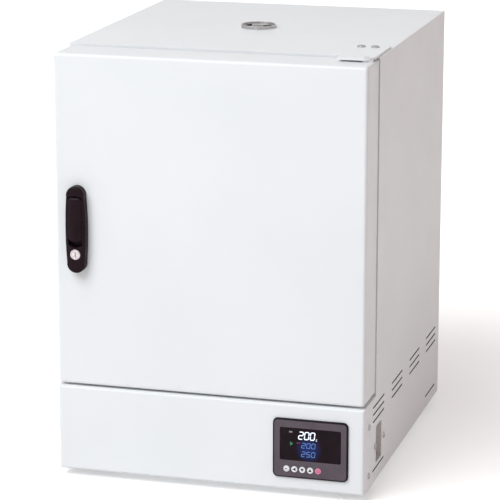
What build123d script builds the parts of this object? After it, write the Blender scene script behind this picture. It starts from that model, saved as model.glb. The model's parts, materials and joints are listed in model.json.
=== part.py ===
from build123d import *
from math import cos, radians, sin
import os

# Benchtop drying oven with a right-hinged insulated door and natural convection.
# Millimetres. +Z is up, the door faces -Y, and +X is to the right of someone who faces the door.
# The origin is on the surface the oven stands on, below the middle of its overall box.

# Casing
WIDTH = 410.0
DEPTH = 470.0
HEIGHT = 555.0
SHEET = 1.2
PANEL_H = 115.0
FLANGE = 14.0
FLANGE_CLEAR = 16.0
REAR_DUCT = 42.0

# Door
DOOR_T = 60.0
DOOR_GAP = 4.0
DOOR_INSET = 1.0
DOOR_LOW_GAP = 3.0
DOOR_TOP_DROP = 2.5
DOOR_BEND_R = 4.0
PLUG_DEPTH = 18.0
PLUG_GAP = 4.0
PLUG_EDGE_R = 5.0
LINER_RIM = 14.0
GASKET_W = 10.0
GASKET_R = 8.0
SEAT = 0.3

# Control panel below the door
PANEL_BEND_R = 4.0
PANEL_RETURN = 8.0
PANEL_FLOOR = 20.0
PANEL_TAB = 36.0
PANEL_TAB_LAP = 4.0

# Chamber
INSULATION_LOW = 48.0
INSULATION_TOP = 49.8
INSULATION_SIDE = 52.8
INSULATION_BACK = 59.4
LINER_T = 1.0
LINER_FLANGE = 10.0
HEATER_ZONE = 38.0
INSULATION_FIT = 0.3

# False floor of the chamber
BAFFLE_T = 1.0
BAFFLE_EDGE = 0.6
BAFFLE_FRONT_GAP = 18.0
BAFFLE_MARGIN = 21.0
BAFFLE_COLUMNS = 4
BAFFLE_ROWS = 8
BAFFLE_WEB = 18.0
BAFFLE_SLOT_W = 6.0
BAFFLE_VENTS = 9
BAFFLE_VENT_WEB = 13.0
BAFFLE_VENT_EDGE = 9.0

# Heater under the false floor
HEATER_R = 4.0
HEATER_LEGS = 4
HEATER_SIDE_GAP = 60.0
HEATER_LIFT = 18.0
HEATER_END_GAP = 32.0
HEATER_TAIL = 24.0
STAND_W = 14.0
STAND_D = 12.0

# Probes in the back wall
PROBE_R = 2.0
PROBE_REACH = 70.0
PROBE_DROP = 48.0
PROBE_FROM_WALL = 90.0
PROBE_NUT_R = 6.0
PROBE_NUT_H = 4.0
HOLE_CLEAR = 0.6

# Shelves
SHELF_FRAME_R = 2.5
SHELF_WIRE_R = 1.5
SHELF_WIRES = 11
SHELF_BACK_GAP = 3.0
SHELF_TRAVEL = 12.0
SHELF_DOOR_GAP = 7.2
SHELF_CORNER_R = 12.0
SHELF_LEVELS = (2, 5)
PILLAR_W = 16.0
PILLAR_PROUD = 5.0
PILLAR_END_GAP = 15.0
PILLAR_FROM_END = 55.0
PILLAR_SLOTS = 8
PILLAR_SLOT = (5.0, 9.0)
PILLAR_ABOVE_SLOTS = 25.0
RUNNER_LEG = 12.0
RUNNER_WALL = 16.0
RUNNER_SIDE_GAP = 1.3
HOOK_W = 3.5
HOOK_DROP = 3.5

# Exhaust on the top
EXHAUST_X = -5.0
EXHAUST_BEHIND_MIDDLE = 20.0
DUCT_R = 20.0
DUCT_WALL = 1.0
DUCT_FLANGE = 6.0
COLLAR_STEP = 3.5
COLLAR_WALL = 2.0
COLLAR_H = 4.5
WEB_T = 1.2
WINDOW_INSET = 2.0
WINDOW_HUB_GAP = 2.0
WINDOW_ARC = 80.0
DAMPER_T = 1.0
DAMPER_EDGE_GAP = 0.5
DAMPER_TAB_W = 8.0
DAMPER_TAB_INSET = 2.0
RIVET_R = 2.0
RIVET_HEAD_R = 4.0
RIVET_HEAD_H = 0.8
RUNNING_FIT = 0.05

# Hinges on the right
HINGE_FROM_EDGE = 11.0
HINGE_FROM_BACK = 18.0
HINGE_PIN_R = 4.0
HINGE_PIN_REACH = 16.0
BRACKET_T = 3.0
BRACKET_TIP = 10.0
BRACKET_W = 46.0
BRACKET_LENGTH = 104.0
BRACKET_CORNER_R = 16.0
BRACKET_EDGE_R = 4.0
BRACKET_SCREW_FROM_RIGHT = 17.0
BRACKET_SCREW_FROM_LEFT = 11.0
BRACKET_SCREW_FROM_REAR = 18.0
WASHER_R = 8.0
BUSH_R = 6.0
BUSH_FLANGE_R = 7.0
BUSH_FLANGE_H = 1.5
LOWER_PLATE = (30.0, 26.0, 4.0)

# Handle on the left of the door
HANDLE_FROM_SIDE = 31.0
HANDLE_DROP = 8.45
HANDLE_W = 27.0
HANDLE_BOW = 1.75
HANDLE_WALL = 4.0
HANDLE_H = 113.5
HANDLE_ARCH = 13.75
HANDLE_SHOULDER_R = 8.0
HANDLE_PROUD = 13.5
HANDLE_CROWN_R = 30.0
HANDLE_EDGE_R = 3.5
HANDLE_FLOOR = 4.0
LEVER_ARCH = 3.5
LEVER_CROWN_R = 18.0
LEVER_PIN_FROM_TOP = 18.55
LEVER_PIN_R = 1.25
LEVER_PIN_SUNK = 4.0
LEVER_PIN_INSET = 2.0
LEVER_HUB_R = 5.2
FINGER_GAP = 8.0
LEVER_LOCK_GAP = 10.5
CHANNEL_CLEAR = 0.3
CAP_CLEAR = 1.2
CAP_ARCH = 2.4

# Key lock in the handle
LOCK_FROM_END = 24.75
LOCK_R = 6.7
LOCK_SUNK = 0.5
LOCK_BARREL_L = 30.0
LOCK_TAIL_R = 2.5
KEYWAY = (1.4, 7.0, 3.0)
CAM_T = 2.5
CAM_W = 10.0
CAM_L = 20.0
CAM_FROM_BACK = 4.5
KEEPER_FROM_SIDE = 5.5
KEEPER_L = 11.5
KEEPER_W = 16.0
KEEPER_T = 1.5
KEEPER_LIP_GAP = 2.5
KEEPER_SLOT_CLEAR = 2.3

# Magnetic catch on the left of the front frame
MAGNET = (14.0, 60.0)
MAGNET_FROM_SIDE = 17.0
MAGNET_FROM_END = 62.0

# Controller in the control panel
BEZEL_FROM_SIDE = 70.0
BEZEL_RISE = 56.8
BEZEL_W = 98.0
BEZEL_H = 78.0
BEZEL_PROUD = 3.0
BEZEL_CORNER_R = 6.0
BEZEL_CHAMFER = 1.0
CASE_INSET = 3.5
CASE_L = 58.0
CASE_WALL = 2.0
CASE_CORNER_R = 2.0
CUTOUT_FIT = 0.5
SCREEN_FROM_LEFT = 9.2
SCREEN_FROM_RIGHT = 10.8
SCREEN_FROM_TOP = 12.4
SCREEN_FROM_LOW = 23.6
SCREEN_T = 1.4
SCREEN_LEDGE = 2.0
SCREEN_CORNER_R = 1.5
BUTTON_R = 4.0
BUTTON_COUNT = 5
BUTTON_FROM_LEFT = 18.0
BUTTON_FROM_LOW = 11.6
BUTTON_SPACE = 2.4
BUTTON_PROUD = 0.8
BUTTON_TRAVEL = 0.8
BUTTON_LIP = 0.8
BUTTON_FLANGE_T = 1.0
BUTTON_GUIDE = 0.3
BOARD_T = 1.6
SWITCH_H = 1.1
SWITCH_R = 2.0

# Ventilation slots in the sides and the rear
SLOT_L = 64.0
SLOT_H = 2.4
SLOT_GROUPS = 4
SLOT_FROM_FRONT = 48.8
SLOT_FROM_REAR = 24.0
SLOT_ROWS = 3
SLOT_ROW_PITCH = 9.7
SLOT_FROM_LEDGE = 12.3
LOW_SLOT_RISE = 17.0
REAR_SLOT_GROUPS = 3
REAR_SLOT_SPACE = 16.0

# Breaker in the right side
RECESS_FRONT = 66.0
RECESS_W = 33.5
RECESS_LOW = 23.0
RECESS_H = 50.0
RECESS_DEPTH = 10.0
RECESS_WALL = 1.2
RECESS_CORNER_R = 3.0
RECESS_SCREWS_OUT = (4.9, 11.5)
RECESS_FRAME_EDGE = 5.5
RECESS_FRAME_H = 57.0
BREAKER = (42.0, 22.0, 56.0)
TOGGLE_RISE = 24.4
TOGGLE_HUB_R = 5.0
TOGGLE_W = 7.0
TOGGLE_T = 5.0
TOGGLE_TIP_DEPTH = 3.5
TOGGLE_TILT = 18.0
TOGGLE_PIVOT_R = 1.5
TOGGLE_CLEAR = 0.5
TOGGLE_SLOT_H = 16.0

# Fasteners
HEAD_TAPER = 0.7
M4_R = 2.0
M4_HEAD_R = 4.2
M4_HEAD_H = 2.0
M4_L = 7.0
M5_R = 2.5
M5_HEAD_R = 5.5
M5_HEAD_H = 2.4
M5_L = 9.0
SCREW_HOLE = 0.1
PANEL_SCREW_FROM_FRONT = 25.3
PANEL_SCREW_FROM_LEDGE = 30.8
PANEL_SCREW_FROM_BASE = 19.2
REAR_SCREW_FROM_END = 35.0
REAR_SCREW_INSET = 8.0

# Feet
FOOT_H = 10.0
FOOT_R = 15.0
FOOT_TIP_R = 13.0
FOOT_FROM_SIDE = 23.5
FOOT_FROM_FRONT = 47.0
FOOT_FROM_REAR = 58.0
FOOT_SEAT = 5.0

# Cable gland in the rear panel
GLAND_FROM_SIDE = 55.0
GLAND_RISE = 38.0
GLAND_PROUD = 14.0
GLAND_HEX = 24.0
GLAND_HEX_H = 6.0
GLAND_CAP_R = 10.0
GLAND_CHAMFER = 2.0
GLAND_THREAD_R = 8.0
GLAND_THREAD_L = 12.0
GLAND_NUT_H = 4.0
GLAND_BORE_R = 4.0

# Power parts on the base pan
SINK_FROM_SIDE = 55.0
SINK_FROM_FRONT = 150.0
SINK_L = 80.0
SINK_H = 60.0
SINK_PLATE = 6.0
SINK_FINS = 9
SINK_FIN = (24.0, 2.0)
RELAY = (24.0, 58.0, 44.0)
RELAY_CORNER_R = 3.0
TERMINALS = 6
TERMINAL_PITCH = 12.0
TERMINAL_FROM_SIDE = 155.0
TERMINAL_FROM_REAR = 94.0
TERMINAL_D = 22.0
TERMINAL_H = 16.0
TERMINAL_WALL = 1.6
TERMINAL_WALL_H = 6.0

# Places that follow from the sizes above
LEVER_PIN_PROUD = HANDLE_PROUD - LEVER_PIN_SUNK
LEVER_PROUD = LEVER_PIN_PROUD + LEVER_HUB_R
OVERALL_D = LEVER_PROUD + DEPTH + GLAND_PROUD
Y_FRONT = LEVER_PROUD - OVERALL_D / 2
Y_DOOR_BACK = Y_FRONT + DOOR_T
Y_FRAME = Y_DOOR_BACK + DOOR_GAP
Y_FRAME_IN = Y_FRAME + SHEET
Y_BACK = Y_FRONT + DEPTH
Y_BACK_IN = Y_BACK - SHEET
Y_RETAINER = Y_BACK_IN - REAR_DUCT
Y_LINER_BACK = Y_RETAINER - SHEET - INSULATION_BACK
Y_CHAMBER_BACK = Y_LINER_BACK - LINER_T
Y_PLUG_BACK = Y_DOOR_BACK + PLUG_DEPTH
X_SIDE = WIDTH / 2
X_IN = X_SIDE - SHEET
X_DOOR = X_SIDE - DOOR_INSET
X_LINER = X_IN - INSULATION_SIDE
X_CHAMBER = X_LINER - LINER_T
X_PLUG = X_CHAMBER - PLUG_GAP
Z_BASE = FOOT_H
Z_BASE_IN = Z_BASE + SHEET
Z_LEDGE = Z_BASE + PANEL_H
Z_LEDGE_IN = Z_LEDGE - SHEET
Z_TOP = Z_BASE + HEIGHT
Z_TOP_IN = Z_TOP - SHEET
Z_DOOR_LOW = Z_LEDGE + DOOR_LOW_GAP
Z_DOOR_TOP = Z_TOP - DOOR_TOP_DROP
Z_FLOOR = Z_LEDGE + INSULATION_LOW + LINER_T
Z_BAFFLE = Z_FLOOR + HEATER_ZONE + BAFFLE_T
Z_ROOF = Z_TOP_IN - INSULATION_TOP - LINER_T
PLUG_Z = (Z_FLOOR + PLUG_GAP, Z_ROOF - PLUG_GAP)

HINGE_X = X_DOOR - HINGE_FROM_EDGE
HINGE_Y = Y_DOOR_BACK - HINGE_FROM_BACK
BRACKET_RIGHT = HINGE_X + BRACKET_TIP
BRACKET_LEFT = BRACKET_RIGHT - BRACKET_W
BRACKET_FRONT = HINGE_Y - BRACKET_TIP
BRACKET_REAR = BRACKET_FRONT + BRACKET_LENGTH
EXHAUST_Y = (Y_FRONT + Y_BACK) / 2 + EXHAUST_BEHIND_MIDDLE
COLLAR_R = DUCT_R + COLLAR_STEP

HEATER_PITCH = 2 * (X_CHAMBER - HEATER_SIDE_GAP) / (HEATER_LEGS - 1)
HEATER_Z = Z_FLOOR + HEATER_LIFT
PROBE_X = X_CHAMBER - PROBE_FROM_WALL
PROBE_Z = Z_ROOF - PROBE_DROP
PILLAR_X = X_CHAMBER - PILLAR_PROUD
PILLAR_LOW = Z_BAFFLE + PILLAR_END_GAP
PILLAR_HIGH = Z_ROOF - PILLAR_END_GAP
PILLAR_PITCH = (PILLAR_HIGH - PILLAR_ABOVE_SLOTS - PILLAR_LOW) / (PILLAR_SLOTS - 1)
RUNNER_X = PILLAR_X - SHEET
SHELF_X = RUNNER_X - RUNNER_SIDE_GAP
SHELF_BACK = Y_CHAMBER_BACK - SHELF_BACK_GAP
SHELF_FRONT = Y_PLUG_BACK + SHELF_DOOR_GAP + SHELF_TRAVEL

HANDLE_X = HANDLE_FROM_SIDE - X_SIDE
HANDLE_Z = (Z_DOOR_LOW + Z_DOOR_TOP) / 2 - HANDLE_DROP
LEVER_PIN_Z = HANDLE_Z + HANDLE_H / 2 - LEVER_PIN_FROM_TOP
LEVER_L = HANDLE_H - LEVER_PIN_FROM_TOP - LOCK_FROM_END - LOCK_R - LEVER_LOCK_GAP
LEVER_PIN_HALF = HANDLE_W / 2 - LEVER_PIN_INSET
LEVER_HALF_W = HANDLE_W / 2 - HANDLE_WALL - CHANNEL_CLEAR
LOCK_Z = HANDLE_Z - HANDLE_H / 2 + LOCK_FROM_END
LOCK_FACE = Y_FRONT - HANDLE_PROUD + LOCK_SUNK
KEEPER_X = (KEEPER_FROM_SIDE - X_SIDE, KEEPER_FROM_SIDE + KEEPER_L - X_SIDE)
KEEPER_FRONT = Y_DOOR_BACK - CAM_FROM_BACK - CAM_T - KEEPER_LIP_GAP - KEEPER_T
MAGNET_X = MAGNET_FROM_SIDE - X_SIDE
MAGNET_Z = (Z_DOOR_LOW + MAGNET_FROM_END, Z_DOOR_TOP - MAGNET_FROM_END)

BEZEL_X = X_SIDE - BEZEL_FROM_SIDE
BEZEL_Z = Z_BASE + BEZEL_RISE
CASE_HALF_W = BEZEL_W / 2 - CASE_INSET
CASE_HALF_H = BEZEL_H / 2 - CASE_INSET
SWITCH_Y = BUTTON_FLANGE_T + BUTTON_TRAVEL + SEAT
BOARD_Y = SWITCH_Y + SWITCH_H
SLOT_TOP = Z_LEDGE - SLOT_FROM_LEDGE
PANEL_SCREW_Y = Y_FRONT + PANEL_SCREW_FROM_FRONT
PANEL_SCREW_Z = (Z_BASE + PANEL_SCREW_FROM_BASE, Z_LEDGE - PANEL_SCREW_FROM_LEDGE)
REAR_SCREW_X = X_SIDE - REAR_SCREW_INSET
RECESS_Y = (Y_FRONT + RECESS_FRONT, Y_FRONT + RECESS_FRONT + RECESS_W)
RECESS_Z = (Z_BASE + RECESS_LOW, Z_BASE + RECESS_LOW + RECESS_H)
RECESS_SCREW_Y = (RECESS_Y[0] - RECESS_SCREWS_OUT[0], RECESS_Y[1] + RECESS_SCREWS_OUT[1])
BREAKER_Y = sum(RECESS_Y) / 2
BREAKER_FACE = X_IN - RECESS_DEPTH - RECESS_WALL
TOGGLE_X = BREAKER_FACE - TOGGLE_HUB_R
TOGGLE_Z = RECESS_Z[0] + TOGGLE_RISE
GLAND_X = X_SIDE - GLAND_FROM_SIDE
GLAND_Z = Z_BASE + GLAND_RISE
SINK_X = SINK_FROM_SIDE - X_SIDE
SINK_Y = Y_FRONT + SINK_FROM_FRONT
TERMINAL_X = X_SIDE - TERMINAL_FROM_SIDE
TERMINAL_Y = Y_BACK - TERMINAL_FROM_REAR

ALONG = {"x": (0, 90, 0), "y": (-90, 0, 0), "z": (0, 0, 0)}
LOW_END = (Align.CENTER, Align.CENTER, Align.MIN)


# Shapes that the pieces share

def block(low, high):
    """A box between two opposite corners."""
    size = [b - a for a, b in zip(low, high)]
    middle = [(a + b) / 2 for a, b in zip(low, high)]
    return Pos(*middle) * Box(*size)


def rounded_block(low, high, axis, radius):
    """A box whose four edges along one axis are rounded."""
    solid = block(low, high)
    return fillet(solid.edges().filter_by(axis), radius)


def front_rounded_block(low, high, radius):
    """A box rounded round its front face only."""
    solid = block(low, high)
    return fillet(solid.faces().sort_by(Axis.Y)[0].edges(), radius)


def tray_block(low, high, radius):
    """A box rounded round its front face and along the four edges that run back from it."""
    solid = block(low, high)
    edges = solid.faces().sort_by(Axis.Y)[0].edges() + solid.edges().filter_by(Axis.Y)
    return fillet(edges, radius)


def rod(axis, start, radius, length):
    """A cylinder that starts at a point and runs along an axis."""
    return Pos(*start) * Rot(*ALONG[axis]) * Cylinder(radius, length, align=LOW_END)


def tube(axis, start, radius, bore, length):
    """A cylinder with a bore right through it."""
    return rod(axis, start, radius, length) - rod(axis, start, bore, length)


def both_sides(solid):
    """A piece and its mirror image across the middle of the oven."""
    return [solid, mirror(solid, Plane.YZ)]


def screw(at, out, radius, head_r, head_h, length):
    """A low-headed screw: its head's seat, and the way its head faces."""
    head = Cone(head_r, head_r * HEAD_TAPER, head_h, align=LOW_END)
    shank = Pos(0, 0, -length) * Cylinder(radius, length, align=LOW_END)
    return Plane(origin=at, z_dir=out) * (head + shank)


def m4(at, out):
    return screw(at, out, M4_R, M4_HEAD_R, M4_HEAD_H, M4_L)


def m5(at, out):
    return screw(at, out, M5_R, M5_HEAD_R, M5_HEAD_H, M5_L)


def slot_rows():
    """The heights of the rows of ventilation slots, from the top one down."""
    return [SLOT_TOP - row * SLOT_ROW_PITCH for row in range(SLOT_ROWS)]


def side_slots():
    """Cutters for the ventilation slots of the right side, through the sheet."""
    near = Y_FRONT + SLOT_FROM_FRONT + SLOT_L / 2
    far = Y_BACK - SLOT_FROM_REAR - SLOT_L / 2
    columns = [near + group * (far - near) / (SLOT_GROUPS - 1) for group in range(SLOT_GROUPS)]
    places = [(y, z) for y in columns for z in slot_rows()]
    places += [(y, Z_BASE + LOW_SLOT_RISE) for y in (near, far)]
    cutters = []
    for y, z in places:
        plane = Plane(origin=(X_IN - SHEET, y, z), x_dir=(0, 1, 0), z_dir=(1, 0, 0))
        cutters.append(extrude(plane * SlotOverall(SLOT_L, SLOT_H), 3 * SHEET))
    return cutters


def panel_screw_holes(x):
    """Cutters for the control panel's screws through the sheet that starts at x, on the right."""
    return [rod("x", (x, PANEL_SCREW_Y, z), M4_R + SCREW_HOLE, SHEET) for z in PANEL_SCREW_Z]


def rear_screw_heights():
    """The heights of the rear panel's screws on each side."""
    low, high = Z_BASE + REAR_SCREW_FROM_END, Z_TOP - REAR_SCREW_FROM_END
    return (low, (low + high) / 2, high)


def bracket_screw_places():
    """The places of the upper hinge bracket's two screws."""
    y = BRACKET_REAR - BRACKET_SCREW_FROM_REAR
    return [(BRACKET_LEFT + BRACKET_SCREW_FROM_LEFT, y), (BRACKET_RIGHT - BRACKET_SCREW_FROM_RIGHT, y)]


# Casing

def side_panel():
    """The right side sheet: full depth below the door's ledge, and behind the door above it."""
    upper = block((X_IN, Y_FRAME_IN, Z_LEDGE_IN), (X_SIDE, Y_BACK_IN, Z_TOP_IN))
    lower = block((X_IN, Y_FRONT + PANEL_RETURN, Z_BASE), (X_SIDE, Y_BACK_IN, Z_LEDGE_IN))
    flange = block((X_IN - FLANGE, Y_BACK_IN - SHEET, Z_BASE + FLANGE_CLEAR),
                   (X_IN, Y_BACK_IN, Z_TOP - FLANGE_CLEAR))
    panel = upper + lower + flange - side_slots()
    holes = panel_screw_holes(X_IN)
    for z in rear_screw_heights():
        holes.append(rod("y", (REAR_SCREW_X, Y_BACK_IN - SHEET, z), M4_R + SCREW_HOLE, SHEET))
    return panel - holes


def side_panel_right():
    """The right side sheet with its opening for the breaker."""
    opening = rounded_block((X_IN, RECESS_Y[0], RECESS_Z[0]), (X_SIDE, RECESS_Y[1], RECESS_Z[1]),
                            Axis.X, RECESS_CORNER_R)
    holes = [rod("x", (X_IN, y, TOGGLE_Z), M4_R + SCREW_HOLE, SHEET) for y in RECESS_SCREW_Y]
    return side_panel() - opening - holes


def top_cover():
    """The top sheet with flanges inside the sides and the rear panel."""
    plate = block((-X_SIDE, Y_FRAME, Z_TOP_IN), (X_SIDE, Y_BACK_IN, Z_TOP))
    side = block((X_IN - SHEET, Y_FRAME_IN + FLANGE, Z_TOP_IN - FLANGE + SHEET),
                 (X_IN, Y_BACK_IN - FLANGE, Z_TOP_IN))
    rear = block((-X_IN + FLANGE, Y_BACK_IN - SHEET, Z_TOP_IN - FLANGE + SHEET),
                 (X_IN - FLANGE, Y_BACK_IN, Z_TOP_IN))
    holes = [rod("z", (x, y, Z_TOP_IN), M5_R + SCREW_HOLE, SHEET) for x, y in bracket_screw_places()]
    holes.append(rod("z", (EXHAUST_X, EXHAUST_Y, Z_TOP_IN), DUCT_R + RUNNING_FIT, SHEET))
    return plate + both_sides(side) + rear - holes


def rear_panel():
    """The rear sheet with ventilation slots low down and the gland's hole."""
    plate = block((-X_SIDE, Y_BACK_IN, Z_BASE), (X_SIDE, Y_BACK, Z_TOP))
    cutters = [rod("y", (GLAND_X, Y_BACK_IN, GLAND_Z), GLAND_THREAD_R + RUNNING_FIT, SHEET)]
    for x in (-REAR_SCREW_X, REAR_SCREW_X):
        for z in rear_screw_heights():
            cutters.append(rod("y", (x, Y_BACK_IN, z), M4_R + SCREW_HOLE, SHEET))
    for group in range(REAR_SLOT_GROUPS):
        x = (group - (REAR_SLOT_GROUPS - 1) / 2) * (SLOT_L + REAR_SLOT_SPACE)
        for z in slot_rows():
            plane = Plane(origin=(x, Y_BACK_IN, z), x_dir=(1, 0, 0), z_dir=(0, 1, 0))
            cutters.append(extrude(plane * SlotOverall(SLOT_L, SLOT_H), SHEET))
    return plate - cutters


def base_pan():
    """The floor sheet with flanges up inside the sides."""
    plate = block((-X_IN, Y_FRONT + PANEL_FLOOR, Z_BASE), (X_IN, Y_BACK_IN, Z_BASE_IN))
    side = block((X_IN - SHEET, Y_FRONT + PANEL_TAB + SHEET, Z_BASE_IN),
                 (X_IN, Y_BACK_IN - FLANGE, Z_BASE + FLANGE - SHEET))
    holes = [rod("z", (x, y, Z_BASE), M5_R + SCREW_HOLE, SHEET) for x, y in foot_places()]
    return plate + both_sides(side) - holes


def deck_plate():
    """The sheet between the control space and the insulated body, folded down front and back."""
    plate = block((-X_IN, Y_FRAME_IN, Z_LEDGE_IN), (X_IN, Y_BACK_IN, Z_LEDGE))
    front = block((-X_IN + FLANGE, Y_FRAME_IN, Z_LEDGE_IN - FLANGE),
                  (X_IN - FLANGE, Y_FRAME_IN + SHEET, Z_LEDGE_IN))
    rear = block((-X_IN + FLANGE, Y_BACK_IN - SHEET, Z_LEDGE_IN - FLANGE),
                 (X_IN - FLANGE, Y_BACK_IN, Z_LEDGE_IN))
    notch = block((X_IN - FLANGE, Y_BACK_IN - SHEET, Z_LEDGE_IN), (X_IN, Y_BACK_IN, Z_LEDGE))
    return plate + front + rear - both_sides(notch)


def inner_back_plate():
    """The sheet that holds the insulation off the rear wiring space."""
    return block((-X_IN, Y_RETAINER - SHEET, Z_LEDGE), (X_IN, Y_RETAINER, Z_TOP_IN - FLANGE))


def front_frame():
    """The cabinet's front face round the chamber's mouth."""
    plate = block((-X_SIDE, Y_FRAME, Z_LEDGE_IN), (X_SIDE, Y_FRAME_IN, Z_TOP_IN))
    mouth = block((-X_CHAMBER, Y_FRAME, Z_FLOOR), (X_CHAMBER, Y_FRAME_IN, Z_ROOF))
    return plate - mouth


def control_panel():
    """The folded front below the door, with its ledge under the door and its screw tabs."""
    outer = front_rounded_block((-X_SIDE, Y_FRONT, Z_BASE), (X_SIDE, Y_FRAME, Z_LEDGE), PANEL_BEND_R)
    inner = front_rounded_block((-X_IN, Y_FRONT + SHEET, Z_BASE_IN), (X_IN, Y_FRAME + SHEET, Z_LEDGE_IN),
                                PANEL_BEND_R - SHEET)
    sides = block((-X_SIDE, Y_FRONT + PANEL_RETURN, Z_BASE), (X_SIDE, Y_FRAME, Z_LEDGE_IN))
    floor = block((-X_IN, Y_FRONT + PANEL_RETURN, Z_BASE), (X_IN, Y_FRONT + PANEL_FLOOR, Z_BASE_IN))
    shell = outer - inner - sides + floor
    tab = block((X_IN - SHEET, Y_FRONT + PANEL_TAB_LAP, Z_BASE + FLANGE),
                (X_IN, Y_FRONT + PANEL_TAB, Z_LEDGE - FLANGE))
    panel = shell + both_sides(tab)
    half_w, half_h = CASE_HALF_W + CUTOUT_FIT, CASE_HALF_H + CUTOUT_FIT
    cutout = block((BEZEL_X - half_w, Y_FRONT, BEZEL_Z - half_h),
                   (BEZEL_X + half_w, Y_FRONT + SHEET, BEZEL_Z + half_h))
    holes = both_sides(Compound(children=panel_screw_holes(X_IN - SHEET)))
    pin_hole = rod("z", (HINGE_X, HINGE_Y, Z_LEDGE_IN), HINGE_PIN_R + RUNNING_FIT, SHEET)
    return panel - cutout - holes - pin_hole


def foot_places():
    """The centres of the four feet."""
    x = X_SIDE - FOOT_FROM_SIDE
    return [(side * x, y) for side in (-1, 1) for y in (Y_FRONT + FOOT_FROM_FRONT, Y_BACK - FOOT_FROM_REAR)]


def rubber_feet():
    """Four tapered rubber feet with a seat for their screws."""
    foot = Cone(FOOT_TIP_R, FOOT_R, FOOT_H, align=LOW_END)
    foot -= Cylinder(M5_HEAD_R + SCREW_HOLE, FOOT_SEAT, align=LOW_END)
    foot -= Cylinder(M5_R + SCREW_HOLE, FOOT_H, align=LOW_END)
    return [Pos(x, y, 0) * foot for x, y in foot_places()]


# Chamber and insulation

def chamber_liner():
    """The stainless chamber: five walls and a flange behind the front frame."""
    low = (-X_LINER, Y_FRAME_IN, Z_FLOOR - LINER_T)
    high = (X_LINER, Y_LINER_BACK, Z_ROOF + LINER_T)
    flange = block((-X_LINER - LINER_FLANGE, Y_FRAME_IN, Z_FLOOR - LINER_T - LINER_FLANGE),
                   (X_LINER + LINER_FLANGE, Y_FRAME_IN + LINER_T, Z_ROOF + LINER_T + LINER_FLANGE))
    inside = block((-X_CHAMBER, Y_FRAME_IN, Z_FLOOR), (X_CHAMBER, Y_CHAMBER_BACK, Z_ROOF))
    exhaust = rod("z", (EXHAUST_X, EXHAUST_Y, Z_ROOF), DUCT_R - DUCT_WALL, LINER_T)
    return block(low, high) + flange - inside - exhaust - back_wall_holes(Y_CHAMBER_BACK, LINER_T)


def back_wall_holes(y, depth):
    """Cutters where the heater's tails and the probe pass through a wall behind the chamber."""
    legs = heater_legs()
    holes = [rod("y", (x, y, HEATER_Z), HEATER_R + HOLE_CLEAR, depth) for x in (legs[0], legs[-1])]
    holes.append(rod("y", (PROBE_X, y, PROBE_Z), PROBE_R + HOLE_CLEAR, depth))
    return holes


def insulation_low():
    """The slab under the chamber."""
    return block((-X_IN, Y_FRAME_IN + LINER_T, Z_LEDGE), (X_IN, Y_RETAINER - SHEET, Z_FLOOR - LINER_T))


def insulation_top():
    """The slab over the chamber, open for the duct and the bracket's screws."""
    slab = block((-X_IN + SHEET, Y_FRAME_IN + LINER_T, Z_ROOF + LINER_T),
                 (X_IN - SHEET, Y_RETAINER - SHEET, Z_TOP_IN))
    duct = rod("z", (EXHAUST_X, EXHAUST_Y, Z_ROOF + LINER_T), DUCT_R + INSULATION_FIT, Z_TOP - Z_ROOF)
    flange = rod("z", (EXHAUST_X, EXHAUST_Y, Z_ROOF + LINER_T), DUCT_R + DUCT_FLANGE, DUCT_WALL)
    shanks = [rod("z", (x, y, Z_TOP - M5_L), M5_R + INSULATION_FIT, M5_L)
              for x, y in bracket_screw_places()]
    return slab - duct - flange - shanks


def insulation_sides():
    """The two slabs beside the chamber."""
    slab = block((X_LINER, Y_FRAME_IN + LINER_T, Z_FLOOR - LINER_T),
                 (X_IN, Y_RETAINER - SHEET, Z_ROOF + LINER_T))
    return both_sides(slab)


def insulation_back():
    """The slab behind the chamber."""
    slab = block((-X_LINER, Y_LINER_BACK, Z_FLOOR - LINER_T),
                 (X_LINER, Y_RETAINER - SHEET, Z_ROOF + LINER_T))
    nut = rod("y", (PROBE_X, Y_LINER_BACK, PROBE_Z), PROBE_NUT_R + INSULATION_FIT, PROBE_NUT_H)
    return slab - back_wall_holes(Y_LINER_BACK, Y_RETAINER - Y_LINER_BACK) - nut


def spread(low, high, count):
    """The middles of equal shares of a length, and one share."""
    share = (high - low) / count
    return [low + (number + 0.5) * share for number in range(count)], share


def floor_baffle():
    """The slotted false floor, folded down to the chamber's floor at its sides and front."""
    x = X_CHAMBER - BAFFLE_EDGE
    front = Y_FRAME_IN + BAFFLE_FRONT_GAP
    back = Y_CHAMBER_BACK - BAFFLE_EDGE
    outer = block((-x, front, Z_FLOOR), (x, back, Z_BAFFLE))
    inner = block((-x + BAFFLE_T, front + BAFFLE_T, Z_FLOOR), (x - BAFFLE_T, back, Z_BAFFLE - BAFFLE_T))
    columns, column_share = spread(-x + BAFFLE_MARGIN, x - BAFFLE_MARGIN, BAFFLE_COLUMNS)
    rows, _ = spread(front + BAFFLE_MARGIN, back - BAFFLE_MARGIN, BAFFLE_ROWS)
    vents, vent_share = spread(-x + BAFFLE_MARGIN, x - BAFFLE_MARGIN, BAFFLE_VENTS)
    cutters = []
    slot = Box(column_share - BAFFLE_WEB, BAFFLE_SLOT_W, 3 * BAFFLE_T)
    for cx in columns:
        for cy in rows:
            cutters.append(Pos(cx, cy, Z_BAFFLE) * slot)
    for cx in vents:
        half = (vent_share - BAFFLE_VENT_WEB) / 2
        cutters.append(block((cx - half, front, Z_FLOOR + BAFFLE_VENT_EDGE),
                             (cx + half, front + BAFFLE_T, Z_BAFFLE - BAFFLE_VENT_EDGE)))
    return outer - inner - cutters


def heater_legs():
    """Where the heater's legs lie across the chamber."""
    return [(leg - (HEATER_LEGS - 1) / 2) * HEATER_PITCH for leg in range(HEATER_LEGS)]


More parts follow.
